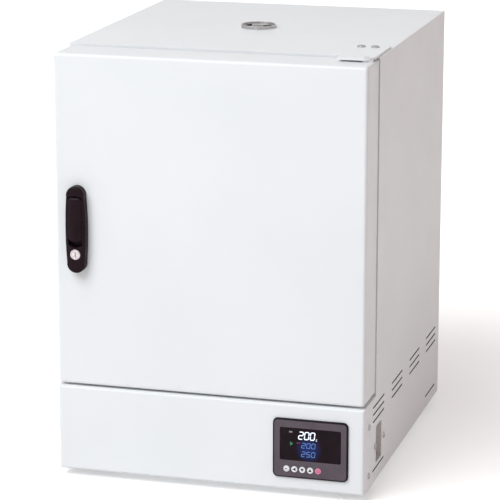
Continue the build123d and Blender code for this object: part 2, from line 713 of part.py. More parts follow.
def heater_element():
    """The sheathed heater: its legs joined by bends, with both tails through the back wall."""
    near = Y_FRAME_IN + BAFFLE_FRONT_GAP + HEATER_END_GAP
    far = Y_CHAMBER_BACK - HEATER_END_GAP
    tail = Y_LINER_BACK + HEATER_TAIL
    points = []
    for number, x in enumerate(heater_legs()):
        ends = [(x, far, HEATER_Z), (x, near, HEATER_Z)]
        points += ends if number % 2 == 0 else ends[::-1]
    points[0] = (points[0][0], tail, HEATER_Z)
    points[-1] = (points[-1][0], tail, HEATER_Z)
    path = FilletPolyline(*points, radius=HEATER_PITCH / 2 - RUNNING_FIT)
    return sweep(Plane(origin=path @ 0, z_dir=path % 0) * Circle(HEATER_R), path=path)


def heater_stands():
    """A saddle for each leg that carries it off the chamber's floor."""
    y = (Y_FRAME_IN + Y_CHAMBER_BACK) / 2
    stands = []
    for x in heater_legs():
        post = block((x - STAND_W / 2, y - STAND_D / 2, Z_FLOOR),
                     (x + STAND_W / 2, y + STAND_D / 2, HEATER_Z))
        stands.append(post - rod("y", (x, y - STAND_D, HEATER_Z), HEATER_R + RUNNING_FIT, 2 * STAND_D))
    return stands


def temperature_probe():
    """The sheathed sensor, with a nut on each side of the chamber's back wall."""
    sheath = rod("y", (PROBE_X, Y_CHAMBER_BACK - PROBE_REACH, PROBE_Z), PROBE_R,
                 PROBE_REACH + LINER_T + HEATER_TAIL)
    inner_nut = rod("y", (PROBE_X, Y_CHAMBER_BACK - PROBE_NUT_H, PROBE_Z), PROBE_NUT_R, PROBE_NUT_H)
    outer_nut = rod("y", (PROBE_X, Y_LINER_BACK, PROBE_Z), PROBE_NUT_R, PROBE_NUT_H)
    return sheath + inner_nut + outer_nut


# Shelves

def pillar_places():
    """Where the pillars stand along the chamber's depth."""
    return (Y_FRAME_IN + PILLAR_FROM_END, Y_CHAMBER_BACK - PILLAR_FROM_END)


def level_height(level):
    """The height of a runner's top on one of the pillars' slots."""
    return PILLAR_LOW + level * PILLAR_PITCH


def shelf_pillars():
    """Four slotted channel strips on the chamber's side walls."""
    pillars = []
    for y in pillar_places():
        outer = block((PILLAR_X, y - PILLAR_W / 2, PILLAR_LOW), (X_CHAMBER, y + PILLAR_W / 2, PILLAR_HIGH))
        inner = block((PILLAR_X + LINER_T, y - PILLAR_W / 2 + LINER_T, PILLAR_LOW),
                      (X_CHAMBER, y + PILLAR_W / 2 - LINER_T, PILLAR_HIGH))
        strip = outer - inner
        for level in range(PILLAR_SLOTS):
            z = level_height(level) + RUNNER_WALL / 2
            strip -= Pos(PILLAR_X, y, z) * Box(PILLAR_PROUD, PILLAR_SLOT[0], PILLAR_SLOT[1])
        pillars += both_sides(strip)
    return pillars


def shelf_runners():
    """Four angle strips that hook into the pillars and carry the shelves."""
    runners = []
    for level in SHELF_LEVELS:
        top = level_height(level)
        near = Y_FRAME_IN + PILLAR_FROM_END - PILLAR_W
        far = Y_CHAMBER_BACK - PILLAR_FROM_END + PILLAR_W
        leg = block((PILLAR_X - RUNNER_LEG, near, top - SHEET), (PILLAR_X, far, top))
        wall = block((RUNNER_X, near, top), (PILLAR_X, far, top + RUNNER_WALL))
        runner = leg + wall
        for y in pillar_places():
            z = top + RUNNER_WALL / 2
            nose = PILLAR_X + 2 * LINER_T + RUNNING_FIT
            runner += block((RUNNER_X, y - HOOK_W / 2, z), (nose + SHEET, y + HOOK_W / 2, z + HOOK_DROP))
            runner += block((nose, y - HOOK_W / 2, z - HOOK_DROP), (nose + SHEET, y + HOOK_W / 2, z))
        runners += both_sides(runner)
    return runners


def shelf(level):
    """A wire shelf: a rounded frame, a cross bar, and wires from front to back."""
    y = (SHELF_FRONT + SHELF_BACK) / 2
    z = level_height(level) + SEAT + SHELF_FRAME_R
    half_w = SHELF_X - SHELF_FRAME_R
    half_d = (SHELF_BACK - SHELF_FRONT) / 2 - SHELF_FRAME_R
    loop = (Pos(0, y, z) * RectangleRounded(2 * half_w, 2 * half_d, SHELF_CORNER_R)).wire()
    frame = sweep(Plane(origin=loop @ 0, z_dir=loop % 0) * Circle(SHELF_FRAME_R), path=loop)
    wires = rod("x", (-half_w, y, z), SHELF_FRAME_R, 2 * half_w)
    for wire in range(SHELF_WIRES):
        x = (wire - (SHELF_WIRES - 1) / 2) * 2 * half_w / (SHELF_WIRES + 1)
        wires += rod("y", (x, y - half_d, z), SHELF_WIRE_R, 2 * half_d)
    return frame + wires


# Exhaust

def windows():
    """Two opposite sector windows, as a sketch."""
    ring = Circle(DUCT_R - WINDOW_INSET) - Circle(RIVET_HEAD_R + WINDOW_HUB_GAP)
    half = radians(WINDOW_ARC / 2)
    reach = 2 * DUCT_R
    corner = (reach * cos(half), reach * sin(half))
    wedge = make_face(Polyline((0, 0), (corner[0], -corner[1]), corner, (0, 0)))
    return (ring & wedge) + (ring & Rot(0, 0, 180) * wedge)


def exhaust_duct():
    """The tube from the chamber's roof to the top, with a foot flange on the roof."""
    low = Z_ROOF + LINER_T
    at = (EXHAUST_X, EXHAUST_Y, low)
    outside = rod("z", at, DUCT_R, Z_TOP - low) + rod("z", at, DUCT_R + DUCT_FLANGE, DUCT_WALL)
    return outside - rod("z", at, DUCT_R - DUCT_WALL, Z_TOP - low)


def exhaust_collar():
    """The ring on the top, with a fixed web with two windows and the damper's rivet."""
    at = (0, 0, 0)
    ring = tube("z", at, COLLAR_R, COLLAR_R - COLLAR_WALL, COLLAR_H)
    ring = chamfer(ring.edges().group_by(Axis.Z)[-1], COLLAR_WALL / 4)
    web = extrude(Circle(COLLAR_R - COLLAR_WALL) - windows(), WEB_T)
    neck = rod("z", at, RIVET_R, WEB_T + 2 * SEAT + DAMPER_T)
    head = rod("z", (0, 0, WEB_T + 2 * SEAT + DAMPER_T), RIVET_HEAD_R, RIVET_HEAD_H)
    return Pos(EXHAUST_X, EXHAUST_Y, Z_TOP) * (ring + web + neck + head)


def damper_disc():
    """The turning disc that covers or clears the web's windows, with a finger tab."""
    radius = COLLAR_R - COLLAR_WALL - DAMPER_EDGE_GAP
    disc = extrude(Circle(radius) - windows() - Circle(RIVET_R + RUNNING_FIT), DAMPER_T)
    near = DAMPER_TAB_INSET - radius
    tab = block((-DAMPER_TAB_W / 2, near, 0), (DAMPER_TAB_W / 2, near + DAMPER_T, COLLAR_H + DAMPER_T))
    return Pos(EXHAUST_X, EXHAUST_Y, Z_TOP + WEB_T + SEAT) * (disc + tab)


# Hinges

def upper_hinge_bracket():
    """The plate on the top that reaches over the door to the upper pin."""
    plate = block((BRACKET_LEFT, BRACKET_FRONT, Z_TOP), (BRACKET_RIGHT, BRACKET_REAR, Z_TOP + BRACKET_T))
    upright = plate.edges().filter_by(Axis.Z).sort_by(lambda edge: edge.center().X - edge.center().Y)
    plate = fillet(upright[:-1], BRACKET_EDGE_R)
    front_right = plate.edges().filter_by(Axis.Z).sort_by(lambda edge: edge.center().X - edge.center().Y)[-1]
    plate = fillet(front_right, BRACKET_CORNER_R)
    holes = [rod("z", (x, y, Z_TOP), M5_R + SCREW_HOLE, BRACKET_T) for x, y in bracket_screw_places()]
    holes.append(rod("z", (HINGE_X, HINGE_Y, Z_TOP), HINGE_PIN_R + RUNNING_FIT, BRACKET_T))
    return plate - holes


def upper_hinge_pin():
    """The pin from the bracket down into the door's top."""
    low = Z_DOOR_TOP - HINGE_PIN_REACH
    return rod("z", (HINGE_X, HINGE_Y, low), HINGE_PIN_R, Z_TOP + BRACKET_T - low)


def lower_hinge_pin():
    """The pin from the ledge up into the door's bottom, with its plate under the ledge."""
    low = Z_LEDGE_IN - LOWER_PLATE[2]
    pin = rod("z", (HINGE_X, HINGE_Y, low), HINGE_PIN_R, Z_DOOR_LOW + HINGE_PIN_REACH - low)
    right = X_SIDE - PANEL_BEND_R - SEAT
    plate = block((right - LOWER_PLATE[0], HINGE_Y - LOWER_PLATE[1] / 2, low),
                  (right, HINGE_Y + LOWER_PLATE[1] / 2, Z_LEDGE_IN))
    return pin + plate


def hinge_washers():
    """A thrust washer over the door and one under it."""
    bore = HINGE_PIN_R + RUNNING_FIT
    upper = tube("z", (HINGE_X, HINGE_Y, Z_DOOR_TOP), WASHER_R, bore, DOOR_TOP_DROP)
    lower = tube("z", (HINGE_X, HINGE_Y, Z_LEDGE), WASHER_R, bore, DOOR_LOW_GAP)
    return [upper, lower]


def door_bushes():
    """Flanged bushes in the door's top and bottom."""
    bore = HINGE_PIN_R + RUNNING_FIT
    length = HINGE_PIN_REACH
    upper = tube("z", (HINGE_X, HINGE_Y, Z_DOOR_TOP - length), BUSH_R, bore, length)
    upper += tube("z", (HINGE_X, HINGE_Y, Z_DOOR_TOP - SHEET - BUSH_FLANGE_H), BUSH_FLANGE_R, bore,
                  BUSH_FLANGE_H)
    lower = tube("z", (HINGE_X, HINGE_Y, Z_DOOR_LOW), BUSH_R, bore, length)
    lower += tube("z", (HINGE_X, HINGE_Y, Z_DOOR_LOW + SHEET), BUSH_FLANGE_R, bore, BUSH_FLANGE_H)
    return [upper, lower]


def bush_holes():
    """Cutters for the bushes in the door's skin."""
    radius = BUSH_R + RUNNING_FIT
    return [rod("z", (HINGE_X, HINGE_Y, z), radius, SHEET) for z in (Z_DOOR_LOW, Z_DOOR_TOP - SHEET)]


# Door

def keeper_window(clear, y0, y1):
    """The space round the lock's keeper, as a cutter."""
    return block((KEEPER_X[0] - clear, y0, LOCK_Z - KEEPER_W / 2 - clear),
                 (KEEPER_X[1] + clear, y1, LOCK_Z + KEEPER_W / 2 + clear))


def door_skin():
    """The painted tray of the door, folded in round its back."""
    outer = tray_block((-X_DOOR, Y_FRONT, Z_DOOR_LOW), (X_DOOR, Y_DOOR_BACK, Z_DOOR_TOP), DOOR_BEND_R)
    inner = tray_block((-X_DOOR + SHEET, Y_FRONT + SHEET, Z_DOOR_LOW + SHEET),
                       (X_DOOR - SHEET, Y_DOOR_BACK - SHEET, Z_DOOR_TOP - SHEET), DOOR_BEND_R - SHEET)
    opening = block((-X_PLUG - SEAT, Y_DOOR_BACK - SHEET, PLUG_Z[0] - SEAT),
                    (X_PLUG + SEAT, Y_DOOR_BACK, PLUG_Z[1] + SEAT))
    lock_hole = rod("y", (HANDLE_X, Y_FRONT, LOCK_Z), LOCK_R + SEAT, SHEET)
    window = keeper_window(KEEPER_SLOT_CLEAR, Y_DOOR_BACK - SHEET, Y_DOOR_BACK)
    return outer - inner - opening - lock_hole - window - bush_holes()


def plug(inset):
    """The raised part of the door's liner, as a solid block."""
    low = (-X_PLUG + inset, Y_DOOR_BACK - SHEET - LINER_T, PLUG_Z[0] + inset)
    high = (X_PLUG - inset, Y_PLUG_BACK - inset, PLUG_Z[1] - inset)
    solid = block(low, high)
    back = solid.faces().sort_by(Axis.Y)[-1].edges()
    return fillet(back, PLUG_EDGE_R - inset)


def door_liner():
    """The stainless inner face of the door, raised into the chamber's mouth."""
    rim = block((-X_PLUG - LINER_RIM, Y_DOOR_BACK - SHEET - LINER_T, PLUG_Z[0] - LINER_RIM),
                (X_PLUG + LINER_RIM, Y_DOOR_BACK - SHEET, PLUG_Z[1] + LINER_RIM))
    return rim + plug(0) - plug(LINER_T)


def door_insulation():
    """The slab that fills the door, with pockets for the bushes, the lock and its keeper."""
    fit = SHEET + INSULATION_FIT
    slab = tray_block((-X_DOOR + fit, Y_FRONT + fit, Z_DOOR_LOW + fit),
                      (X_DOOR - fit, Y_DOOR_BACK - SHEET - LINER_T, Z_DOOR_TOP - fit), DOOR_BEND_R - SHEET)
    filled = slab + plug(LINER_T + INSULATION_FIT)
    pocket_r = BUSH_FLANGE_R + INSULATION_FIT
    pocket_l = HINGE_PIN_REACH + BUSH_FLANGE_H
    pockets = [rod("z", (HINGE_X, HINGE_Y, Z_DOOR_LOW), pocket_r, pocket_l),
               rod("z", (HINGE_X, HINGE_Y, Z_DOOR_TOP - pocket_l), pocket_r, pocket_l),
               rod("y", (HANDLE_X, Y_FRONT, LOCK_Z), LOCK_R + HOLE_CLEAR, DOOR_T)]
    reach = CAM_L + CAM_W / 2
    pockets.append(block((-X_DOOR, KEEPER_FRONT - KEEPER_LIP_GAP, LOCK_Z - reach),
                         (HANDLE_X + reach / 2, Y_DOOR_BACK, LOCK_Z + reach)))
    return filled - pockets


def door_gasket():
    """The silicone seal round the raised part of the door."""
    grow = SEAT * 2
    low = (-X_PLUG - grow - GASKET_W, Y_DOOR_BACK, PLUG_Z[0] - grow - GASKET_W)
    high = (X_PLUG + grow + GASKET_W, Y_FRAME - SEAT, PLUG_Z[1] + grow + GASKET_W)
    outer = rounded_block(low, high, Axis.Y, GASKET_R)
    outer = fillet(outer.faces().sort_by(Axis.Y)[-1].edges(), (DOOR_GAP - SEAT) / 3)
    inner = block((-X_PLUG - grow, Y_DOOR_BACK, PLUG_Z[0] - grow), (X_PLUG + grow, Y_FRAME, PLUG_Z[1] + grow))
    return outer - inner


def catch_magnets():
    """Two magnet strips on the front frame that hold the closed door."""
    half_w, half_h = MAGNET[0] / 2, MAGNET[1] / 2
    near = Y_DOOR_BACK + SEAT
    return [block((MAGNET_X - half_w, near, z - half_h), (MAGNET_X + half_w, Y_FRAME, z + half_h))
            for z in MAGNET_Z]


def lock_keeper():
    """The bracket on the front frame whose lip the lock's cam turns behind."""
    low_z, high_z = LOCK_Z - KEEPER_W / 2, LOCK_Z + KEEPER_W / 2
    foot = block((KEEPER_X[0], Y_FRAME - KEEPER_T, low_z), (KEEPER_X[1], Y_FRAME, high_z))
    arm = block((KEEPER_X[0], KEEPER_FRONT, low_z), (KEEPER_X[0] + KEEPER_T, Y_FRAME, high_z))
    lip = block((KEEPER_X[0], KEEPER_FRONT, low_z), (KEEPER_X[1], KEEPER_FRONT + KEEPER_T, high_z))
    return foot + arm + lip


# Handle and lock

def front_plane(x, z):
    """A plane on the door's front that faces out."""
    return Plane(origin=(x, Y_FRONT, z), x_dir=(1, 0, 0), z_dir=(0, -1, 0))


def crown(radius, proud):
    """A long upright cylinder whose front stands proud of the door by a given amount."""
    at = (HANDLE_X, Y_FRONT - proud + radius, HANDLE_Z - HANDLE_H)
    return rod("z", at, radius, 2 * HANDLE_H)


def handle_outline():
    """The barrel outline of the handle: bowed sides and round ends."""
    neck, shoulder = HANDLE_W / 2 - HANDLE_BOW, HANDLE_H / 2 - HANDLE_ARCH
    right = ThreePointArc((neck, -shoulder), (HANDLE_W / 2, 0), (neck, shoulder))
    top = ThreePointArc((neck, shoulder), (0, HANDLE_H / 2), (-neck, shoulder))
    left = ThreePointArc((-neck, shoulder), (-HANDLE_W / 2, 0), (-neck, -shoulder))
    bottom = ThreePointArc((-neck, -shoulder), (0, -HANDLE_H / 2), (neck, -shoulder))
    outline = make_face([right, top, left, bottom])
    return fillet(outline.vertices(), HANDLE_SHOULDER_R)


def lever_outline(half_w, low, high, top_arch):
    """An outline seen from the front, arched at both ends. Heights are from the pin."""
    shoulder = high - top_arch
    right = Line((half_w, low + LEVER_ARCH), (half_w, shoulder))
    top = ThreePointArc((half_w, shoulder), (0, high), (-half_w, shoulder))
    left = Line((-half_w, shoulder), (-half_w, low + LEVER_ARCH))
    bottom = ThreePointArc((-half_w, low + LEVER_ARCH), (0, low), (half_w, low + LEVER_ARCH))
    return make_face([right, top, left, bottom])


def handle_base():
    """The moulded base: a crowned barrel with a channel for the lever and a bore for the lock."""
    body = extrude(front_plane(HANDLE_X, HANDLE_Z) * handle_outline(), HANDLE_PROUD)
    body = fillet(body.faces().sort_by(Axis.Y)[0].edges(), HANDLE_EDGE_R)
    body = body & crown(HANDLE_CROWN_R, HANDLE_PROUD)
    channel = lever_outline(LEVER_HALF_W + CHANNEL_CLEAR, -LEVER_L - FINGER_GAP,
                            LEVER_HUB_R + CAP_CLEAR, CAP_ARCH)
    plane = front_plane(HANDLE_X, LEVER_PIN_Z).offset(HANDLE_FLOOR)
    channel = extrude(plane * channel, HANDLE_PROUD)
    lock_bore = rod("y", (HANDLE_X, Y_FRONT - HANDLE_PROUD, LOCK_Z), LOCK_R + RUNNING_FIT, HANDLE_PROUD)
    pin_bore = rod("x", (HANDLE_X - LEVER_PIN_HALF, Y_FRONT - LEVER_PIN_PROUD, LEVER_PIN_Z),
                   LEVER_PIN_R, 2 * LEVER_PIN_HALF)
    return body - channel - lock_bore - pin_bore


def handle_lever():
    """The crowned lever that lifts at its lower end and turns about the pin at its top."""
    outline = lever_outline(LEVER_HALF_W, -LEVER_L, LEVER_HUB_R, LEVER_ARCH)
    slab = extrude(front_plane(HANDLE_X, LEVER_PIN_Z) * outline, LEVER_PROUD)
    at = (HANDLE_X - HANDLE_W, Y_FRONT - LEVER_PIN_PROUD, LEVER_PIN_Z)
    hub = rod("x", at, LEVER_HUB_R, 2 * HANDLE_W)
    arm = block((at[0], at[1] - LEVER_HUB_R, LEVER_PIN_Z - LEVER_L - LEVER_ARCH),
                (at[0] + 2 * HANDLE_W, at[1] + LEVER_HUB_R, LEVER_PIN_Z))
    lever = slab & (hub + arm) & crown(LEVER_CROWN_R, LEVER_PROUD)
    return lever - rod("x", at, LEVER_PIN_R + RUNNING_FIT, 2 * HANDLE_W)


def lever_pin():
    """The pin that the lever turns on, held in the base's side walls."""
    at = (HANDLE_X - LEVER_PIN_HALF, Y_FRONT - LEVER_PIN_PROUD, LEVER_PIN_Z)
    return rod("x", at, LEVER_PIN_R, 2 * LEVER_PIN_HALF)


def lock_barrel():
    """The key cylinder, its tail through the door and the cam at the back, which points up."""
    barrel = rod("y", (HANDLE_X, LOCK_FACE, LOCK_Z), LOCK_R, LOCK_BARREL_L)
    keyway = Pos(HANDLE_X, LOCK_FACE, LOCK_Z) * Box(KEYWAY[0], 2 * KEYWAY[2], KEYWAY[1])
    cam_back = Y_DOOR_BACK - CAM_FROM_BACK
    barrel_back = LOCK_FACE + LOCK_BARREL_L
    tail = rod("y", (HANDLE_X, barrel_back, LOCK_Z), LOCK_TAIL_R, cam_back - barrel_back)
    eye = rod("y", (HANDLE_X, cam_back - CAM_T, LOCK_Z), CAM_W / 2, CAM_T)
    arm = block((HANDLE_X - CAM_W / 2, cam_back - CAM_T, LOCK_Z),
                (HANDLE_X + CAM_W / 2, cam_back, LOCK_Z + CAM_L))
    return barrel - keyway + tail + eye + arm


# Controller

def bezel_block(x0, x1, z0, z1, y0, y1, radius):
    """A block placed from the bezel's centre and the panel's face, rounded at its corners."""
    return rounded_block((BEZEL_X + x0, Y_FRONT + y0, BEZEL_Z + z0),
                         (BEZEL_X + x1, Y_FRONT + y1, BEZEL_Z + z1), Axis.Y, radius)


def screen_block(shrink, y0, y1):
    """A block on the screen's place."""
    left = SCREEN_FROM_LEFT - BEZEL_W / 2 + shrink
    right = BEZEL_W / 2 - SCREEN_FROM_RIGHT - shrink
    low = SCREEN_FROM_LOW - BEZEL_H / 2 + shrink
    high = BEZEL_H / 2 - SCREEN_FROM_TOP - shrink
    return bezel_block(left, right, low, high, y0, y1, SCREEN_CORNER_R)


def button_places():
    """The buttons' centres across the panel, and their height."""
    first = BEZEL_X - BEZEL_W / 2 + BUTTON_FROM_LEFT
    pitch = 2 * BUTTON_R + BUTTON_SPACE
    z = BEZEL_Z - BEZEL_H / 2 + BUTTON_FROM_LOW
    return [(first + number * pitch, z) for number in range(BUTTON_COUNT)]


def controller_bezel():
    """The bezel with a seat for the screen and a hole for each button."""
    half_w, half_h = BEZEL_W / 2, BEZEL_H / 2
    body = bezel_block(-half_w, half_w, -half_h, half_h, -BEZEL_PROUD, 0, BEZEL_CORNER_R)
    body = chamfer(body.faces().sort_by(Axis.Y)[0].edges(), BEZEL_CHAMFER)
    body -= screen_block(0, -2 * BEZEL_PROUD, -BEZEL_PROUD + SCREEN_T)
    body -= screen_block(SCREEN_LEDGE, -BEZEL_PROUD, 0)
    for x, z in button_places():
        body -= rod("y", (x, Y_FRONT - BEZEL_PROUD, z), BUTTON_R + BUTTON_GUIDE, BEZEL_PROUD)
    return body


def display_lens():
    """The dark window over the display."""
    return screen_block(RUNNING_FIT, -BEZEL_PROUD, -BEZEL_PROUD + SCREEN_T)


def controller_case():
    """The controller's housing behind the panel, open to the front for its board."""
    half_w, half_h = CASE_HALF_W, CASE_HALF_H
    body = bezel_block(-half_w, half_w, -half_h, half_h, 0, CASE_L, CASE_CORNER_R)
    half_w, half_h = half_w - CASE_WALL, half_h - CASE_WALL
    pocket = bezel_block(-half_w, half_w, -half_h, half_h, 0, BOARD_Y + BOARD_T, CASE_CORNER_R / 2)
    return body - pocket


def controller_board():
    """The circuit board with the display on it and a switch behind each button."""
    half_w, half_h = CASE_HALF_W - CASE_WALL, CASE_HALF_H - CASE_WALL
    board = bezel_block(-half_w, half_w, -half_h, half_h, BOARD_Y, BOARD_Y + BOARD_T, CASE_CORNER_R / 2)
    board += screen_block(SCREEN_LEDGE + SEAT, -BEZEL_PROUD + SCREEN_T + SEAT, BOARD_Y)
    for x, z in button_places():
        board += rod("y", (x, Y_FRONT + SWITCH_Y, z), SWITCH_R, SWITCH_H)
    return board


def button(number):
    """A round push button with a flange behind the bezel."""
    x, z = button_places()[number]
    cap = rod("y", (x, Y_FRONT - BEZEL_PROUD - BUTTON_PROUD, z), BUTTON_R, BEZEL_PROUD + BUTTON_PROUD)
    cap = fillet(cap.faces().sort_by(Axis.Y)[0].edges(), BUTTON_PROUD / 2)
    return cap + rod("y", (x, Y_FRONT, z), BUTTON_R + BUTTON_LIP, BUTTON_FLANGE_T)


# Breaker

def recess_block(x0, x1, grow):
    """A block on the breaker's opening, between two depths."""
    return rounded_block((x0, RECESS_Y[0] - grow, RECESS_Z[0] - grow),
                         (x1, RECESS_Y[1] + grow, RECESS_Z[1] + grow), Axis.X, RECESS_CORNER_R + grow)


def breaker_recess():
    """The pan behind the opening in the side, with a frame that its two screws hold."""
    middle = sum(RECESS_Z) / 2
    frame = block((X_IN - RECESS_WALL, RECESS_SCREW_Y[0] - RECESS_FRAME_EDGE, middle - RECESS_FRAME_H / 2),
                  (X_IN, RECESS_SCREW_Y[1] + RECESS_FRAME_EDGE, middle + RECESS_FRAME_H / 2))
    pan = recess_block(BREAKER_FACE, X_IN, RECESS_WALL)
    hollow = recess_block(BREAKER_FACE + RECESS_WALL, X_IN, 0)
    slot = Box(4 * RECESS_WALL, TOGGLE_W + 4 * TOGGLE_CLEAR, TOGGLE_SLOT_H)
    holes = [rod("x", (X_IN - RECESS_WALL, y, TOGGLE_Z), M4_R + SCREW_HOLE, RECESS_WALL)
             for y in RECESS_SCREW_Y]
    return frame + pan - hollow - Pos(BREAKER_FACE, BREAKER_Y, TOGGLE_Z) * slot - holes


def breaker_body():
    """The breaker behind the pan, hollowed round its toggle and with the toggle's pivot."""
    z = sum(RECESS_Z) / 2
    low = (BREAKER_FACE - BREAKER[0], BREAKER_Y - BREAKER[1] / 2, z - BREAKER[2] / 2)
    high = (BREAKER_FACE, BREAKER_Y + BREAKER[1] / 2, z + BREAKER[2] / 2)
    half_y = TOGGLE_W / 2 + TOGGLE_CLEAR
    at = (TOGGLE_X, BREAKER_Y - half_y, TOGGLE_Z)
    radius = TOGGLE_HUB_R + TOGGLE_CLEAR
    cavity = rod("y", at, radius, 2 * half_y)
    mouth = block((TOGGLE_X, at[1], at[2] - radius), (BREAKER_FACE, at[1] + 2 * half_y, at[2] + radius))
    return block(low, high) - cavity - mouth + rod("y", at, TOGGLE_PIVOT_R, 2 * half_y)


def breaker_toggle():
    """The breaker's toggle, tilted down as when it is off."""
    half_w = TOGGLE_W / 2
    hub = rod("y", (TOGGLE_X, BREAKER_Y - half_w, TOGGLE_Z), TOGGLE_HUB_R, TOGGLE_W)
    arm = rounded_block((TOGGLE_X, BREAKER_Y - half_w, TOGGLE_Z - TOGGLE_T / 2),
                        (X_SIDE - TOGGLE_TIP_DEPTH, BREAKER_Y + half_w, TOGGLE_Z + TOGGLE_T / 2),
                        Axis.Y, TOGGLE_T / 4)
    bore = rod("y", (TOGGLE_X, BREAKER_Y - TOGGLE_W, TOGGLE_Z), TOGGLE_PIVOT_R + RUNNING_FIT, 2 * TOGGLE_W)
    pivot = Pos(TOGGLE_X, BREAKER_Y, TOGGLE_Z)
    return pivot * Rot(0, TOGGLE_TILT, 0) * pivot.inverse() * (hub + arm - bore)


# Power parts

def heat_sink():
    """The relay's heat sink: an upright plate with fins on its left."""
    top = Z_BASE_IN + SINK_H
    sink = block((SINK_X, SINK_Y, Z_BASE_IN), (SINK_X + SINK_PLATE, SINK_Y + SINK_L, top))
    step = (SINK_L - SINK_FIN[1]) / (SINK_FINS - 1)
    for fin in range(SINK_FINS):
        y = SINK_Y + fin * step
        sink += block((SINK_X - SINK_FIN[0], y, Z_BASE_IN), (SINK_X, y + SINK_FIN[1], top))
    return sink


def solid_state_relay():
    """The relay on the heat sink's flat side."""
    low = (SINK_X + SINK_PLATE, SINK_Y + (SINK_L - RELAY[1]) / 2, Z_BASE_IN + SHEET)
    high = [start + size for start, size in zip(low, RELAY)]
    return rounded_block(low, high, Axis.X, RELAY_CORNER_R)


def terminal_block():
    """The mains terminals, with a wall between each pair."""
    width = TERMINALS * TERMINAL_PITCH + TERMINAL_WALL
    top = Z_BASE_IN + TERMINAL_H
    body = block((TERMINAL_X, TERMINAL_Y, Z_BASE_IN), (TERMINAL_X + width, TERMINAL_Y + TERMINAL_D, top))
    for wall in range(TERMINALS + 1):
        left = TERMINAL_X + wall * TERMINAL_PITCH
        body += block((left, TERMINAL_Y, top),
                      (left + TERMINAL_WALL, TERMINAL_Y + TERMINAL_D, top + TERMINAL_WALL_H))
    return body


def hexagon(y, length):
    """A hexagonal prism round the gland's axis."""
    plane = Plane(origin=(GLAND_X, y, GLAND_Z), x_dir=(1, 0, 0), z_dir=(0, 1, 0))
    return extrude(plane * RegularPolygon(GLAND_HEX / 2, 6, major_radius=False), length)


def cable_gland():
    """The gland in the rear panel and its nut inside."""
    inner_end = Y_BACK_IN - GLAND_THREAD_L
    thread = rod("y", (GLAND_X, inner_end, GLAND_Z), GLAND_THREAD_R, Y_BACK - inner_end)
    cap = rod("y", (GLAND_X, Y_BACK + GLAND_HEX_H, GLAND_Z), GLAND_CAP_R, GLAND_PROUD - GLAND_HEX_H)
    cap = chamfer(cap.faces().sort_by(Axis.Y)[-1].edges(), GLAND_CHAMFER)
    bore = rod("y", (GLAND_X, inner_end, GLAND_Z), GLAND_BORE_R, GLAND_THREAD_L + SHEET + GLAND_PROUD)
    return thread + hexagon(Y_BACK, GLAND_HEX_H) + cap + hexagon(Y_BACK_IN - GLAND_NUT_H, GLAND_NUT_H) - bore


# Fasteners

def m4_screws():
    """The screws of the control panel, the breaker's pan and the rear panel."""
    screws = []
    for side in (-1, 1):
        screws += [m4((side * X_SIDE, PANEL_SCREW_Y, z), (side, 0, 0)) for z in PANEL_SCREW_Z]
        screws += [m4((side * REAR_SCREW_X, Y_BACK, z), (0, 1, 0)) for z in rear_screw_heights()]
    screws += [m4((X_SIDE, y, TOGGLE_Z), (1, 0, 0)) for y in RECESS_SCREW_Y]
    return screws


def m5_screws():
    """The screws of the upper hinge bracket and the feet."""
    screws = [m5((x, y, Z_TOP + BRACKET_T), (0, 0, 1)) for x, y in bracket_screw_places()]
    screws += [m5((x, y, FOOT_SEAT), (0, 0, -1)) for x, y in foot_places()]
    return screws


# Everything is written here, one file for each node

def solids(shape):
    """One shape to write, from a solid or a list of separate solids."""
    if isinstance(shape, list):
        return Compound(children=shape)
    return shape


def main():
    os.makedirs("parts", exist_ok=True)
    nodes = {
        "side_panel_right": side_panel_right(),
        "side_panel_left": mirror(side_panel(), Plane.YZ),
        "top_cover": top_cover(),
        "rear_panel": rear_panel(),
        "base_pan": base_pan(),
        "deck_plate": deck_plate(),
        "inner_back_plate": inner_back_plate(),
        "front_frame": front_frame(),
        "control_panel": control_panel(),
        "rubber_feet": rubber_feet(),
        "chamber_liner": chamber_liner(),
        "insulation_low": insulation_low(),
        "insulation_top": insulation_top(),
        "insulation_sides": insulation_sides(),
        "insulation_back": insulation_back(),
        "floor_baffle": floor_baffle(),
        "heater_element": heater_element(),
        "heater_stands": heater_stands(),
        "temperature_probe": temperature_probe(),
        "shelf_pillars": shelf_pillars(),
        "shelf_runners": shelf_runners(),
        "shelf_lower": shelf(SHELF_LEVELS[0]),
        "shelf_upper": shelf(SHELF_LEVELS[1]),
        "exhaust_duct": exhaust_duct(),
        "exhaust_collar": exhaust_collar(),
        "damper_disc": damper_disc(),
        "upper_hinge_bracket": upper_hinge_bracket(),
        "upper_hinge_pin": upper_hinge_pin(),
        "lower_hinge_pin": lower_hinge_pin(),
        "hinge_washers": hinge_washers(),
        "door_skin": door_skin(),
        "door_liner": door_liner(),
        "door_insulation": door_insulation(),
        "door_gasket": door_gasket(),
        "door_bushes": door_bushes(),
        "catch_magnets": catch_magnets(),
        "lock_keeper": lock_keeper(),
        "handle_base": handle_base(),
        "handle_lever": handle_lever(),
        "lever_pin": lever_pin(),
        "lock_barrel": lock_barrel(),
        "controller_bezel": controller_bezel(),
        "display_lens": display_lens(),
        "controller_case": controller_case(),
        "controller_board": controller_board(),
        "breaker_recess": breaker_recess(),
        "breaker_body": breaker_body(),
        "breaker_toggle": breaker_toggle(),
        "heat_sink": heat_sink(),
        "solid_state_relay": solid_state_relay(),
        "terminal_block": terminal_block(),
        "cable_gland": cable_gland(),
        "m4_screws": m4_screws(),
        "m5_screws": m5_screws(),
    }
    for number in range(BUTTON_COUNT):
        nodes[f"button_{number + 1}"] = button(number)
    for name, shape in nodes.items():
        export_step(solids(shape), f"parts/{name}.step")


if __name__ == "__main__":
    main()
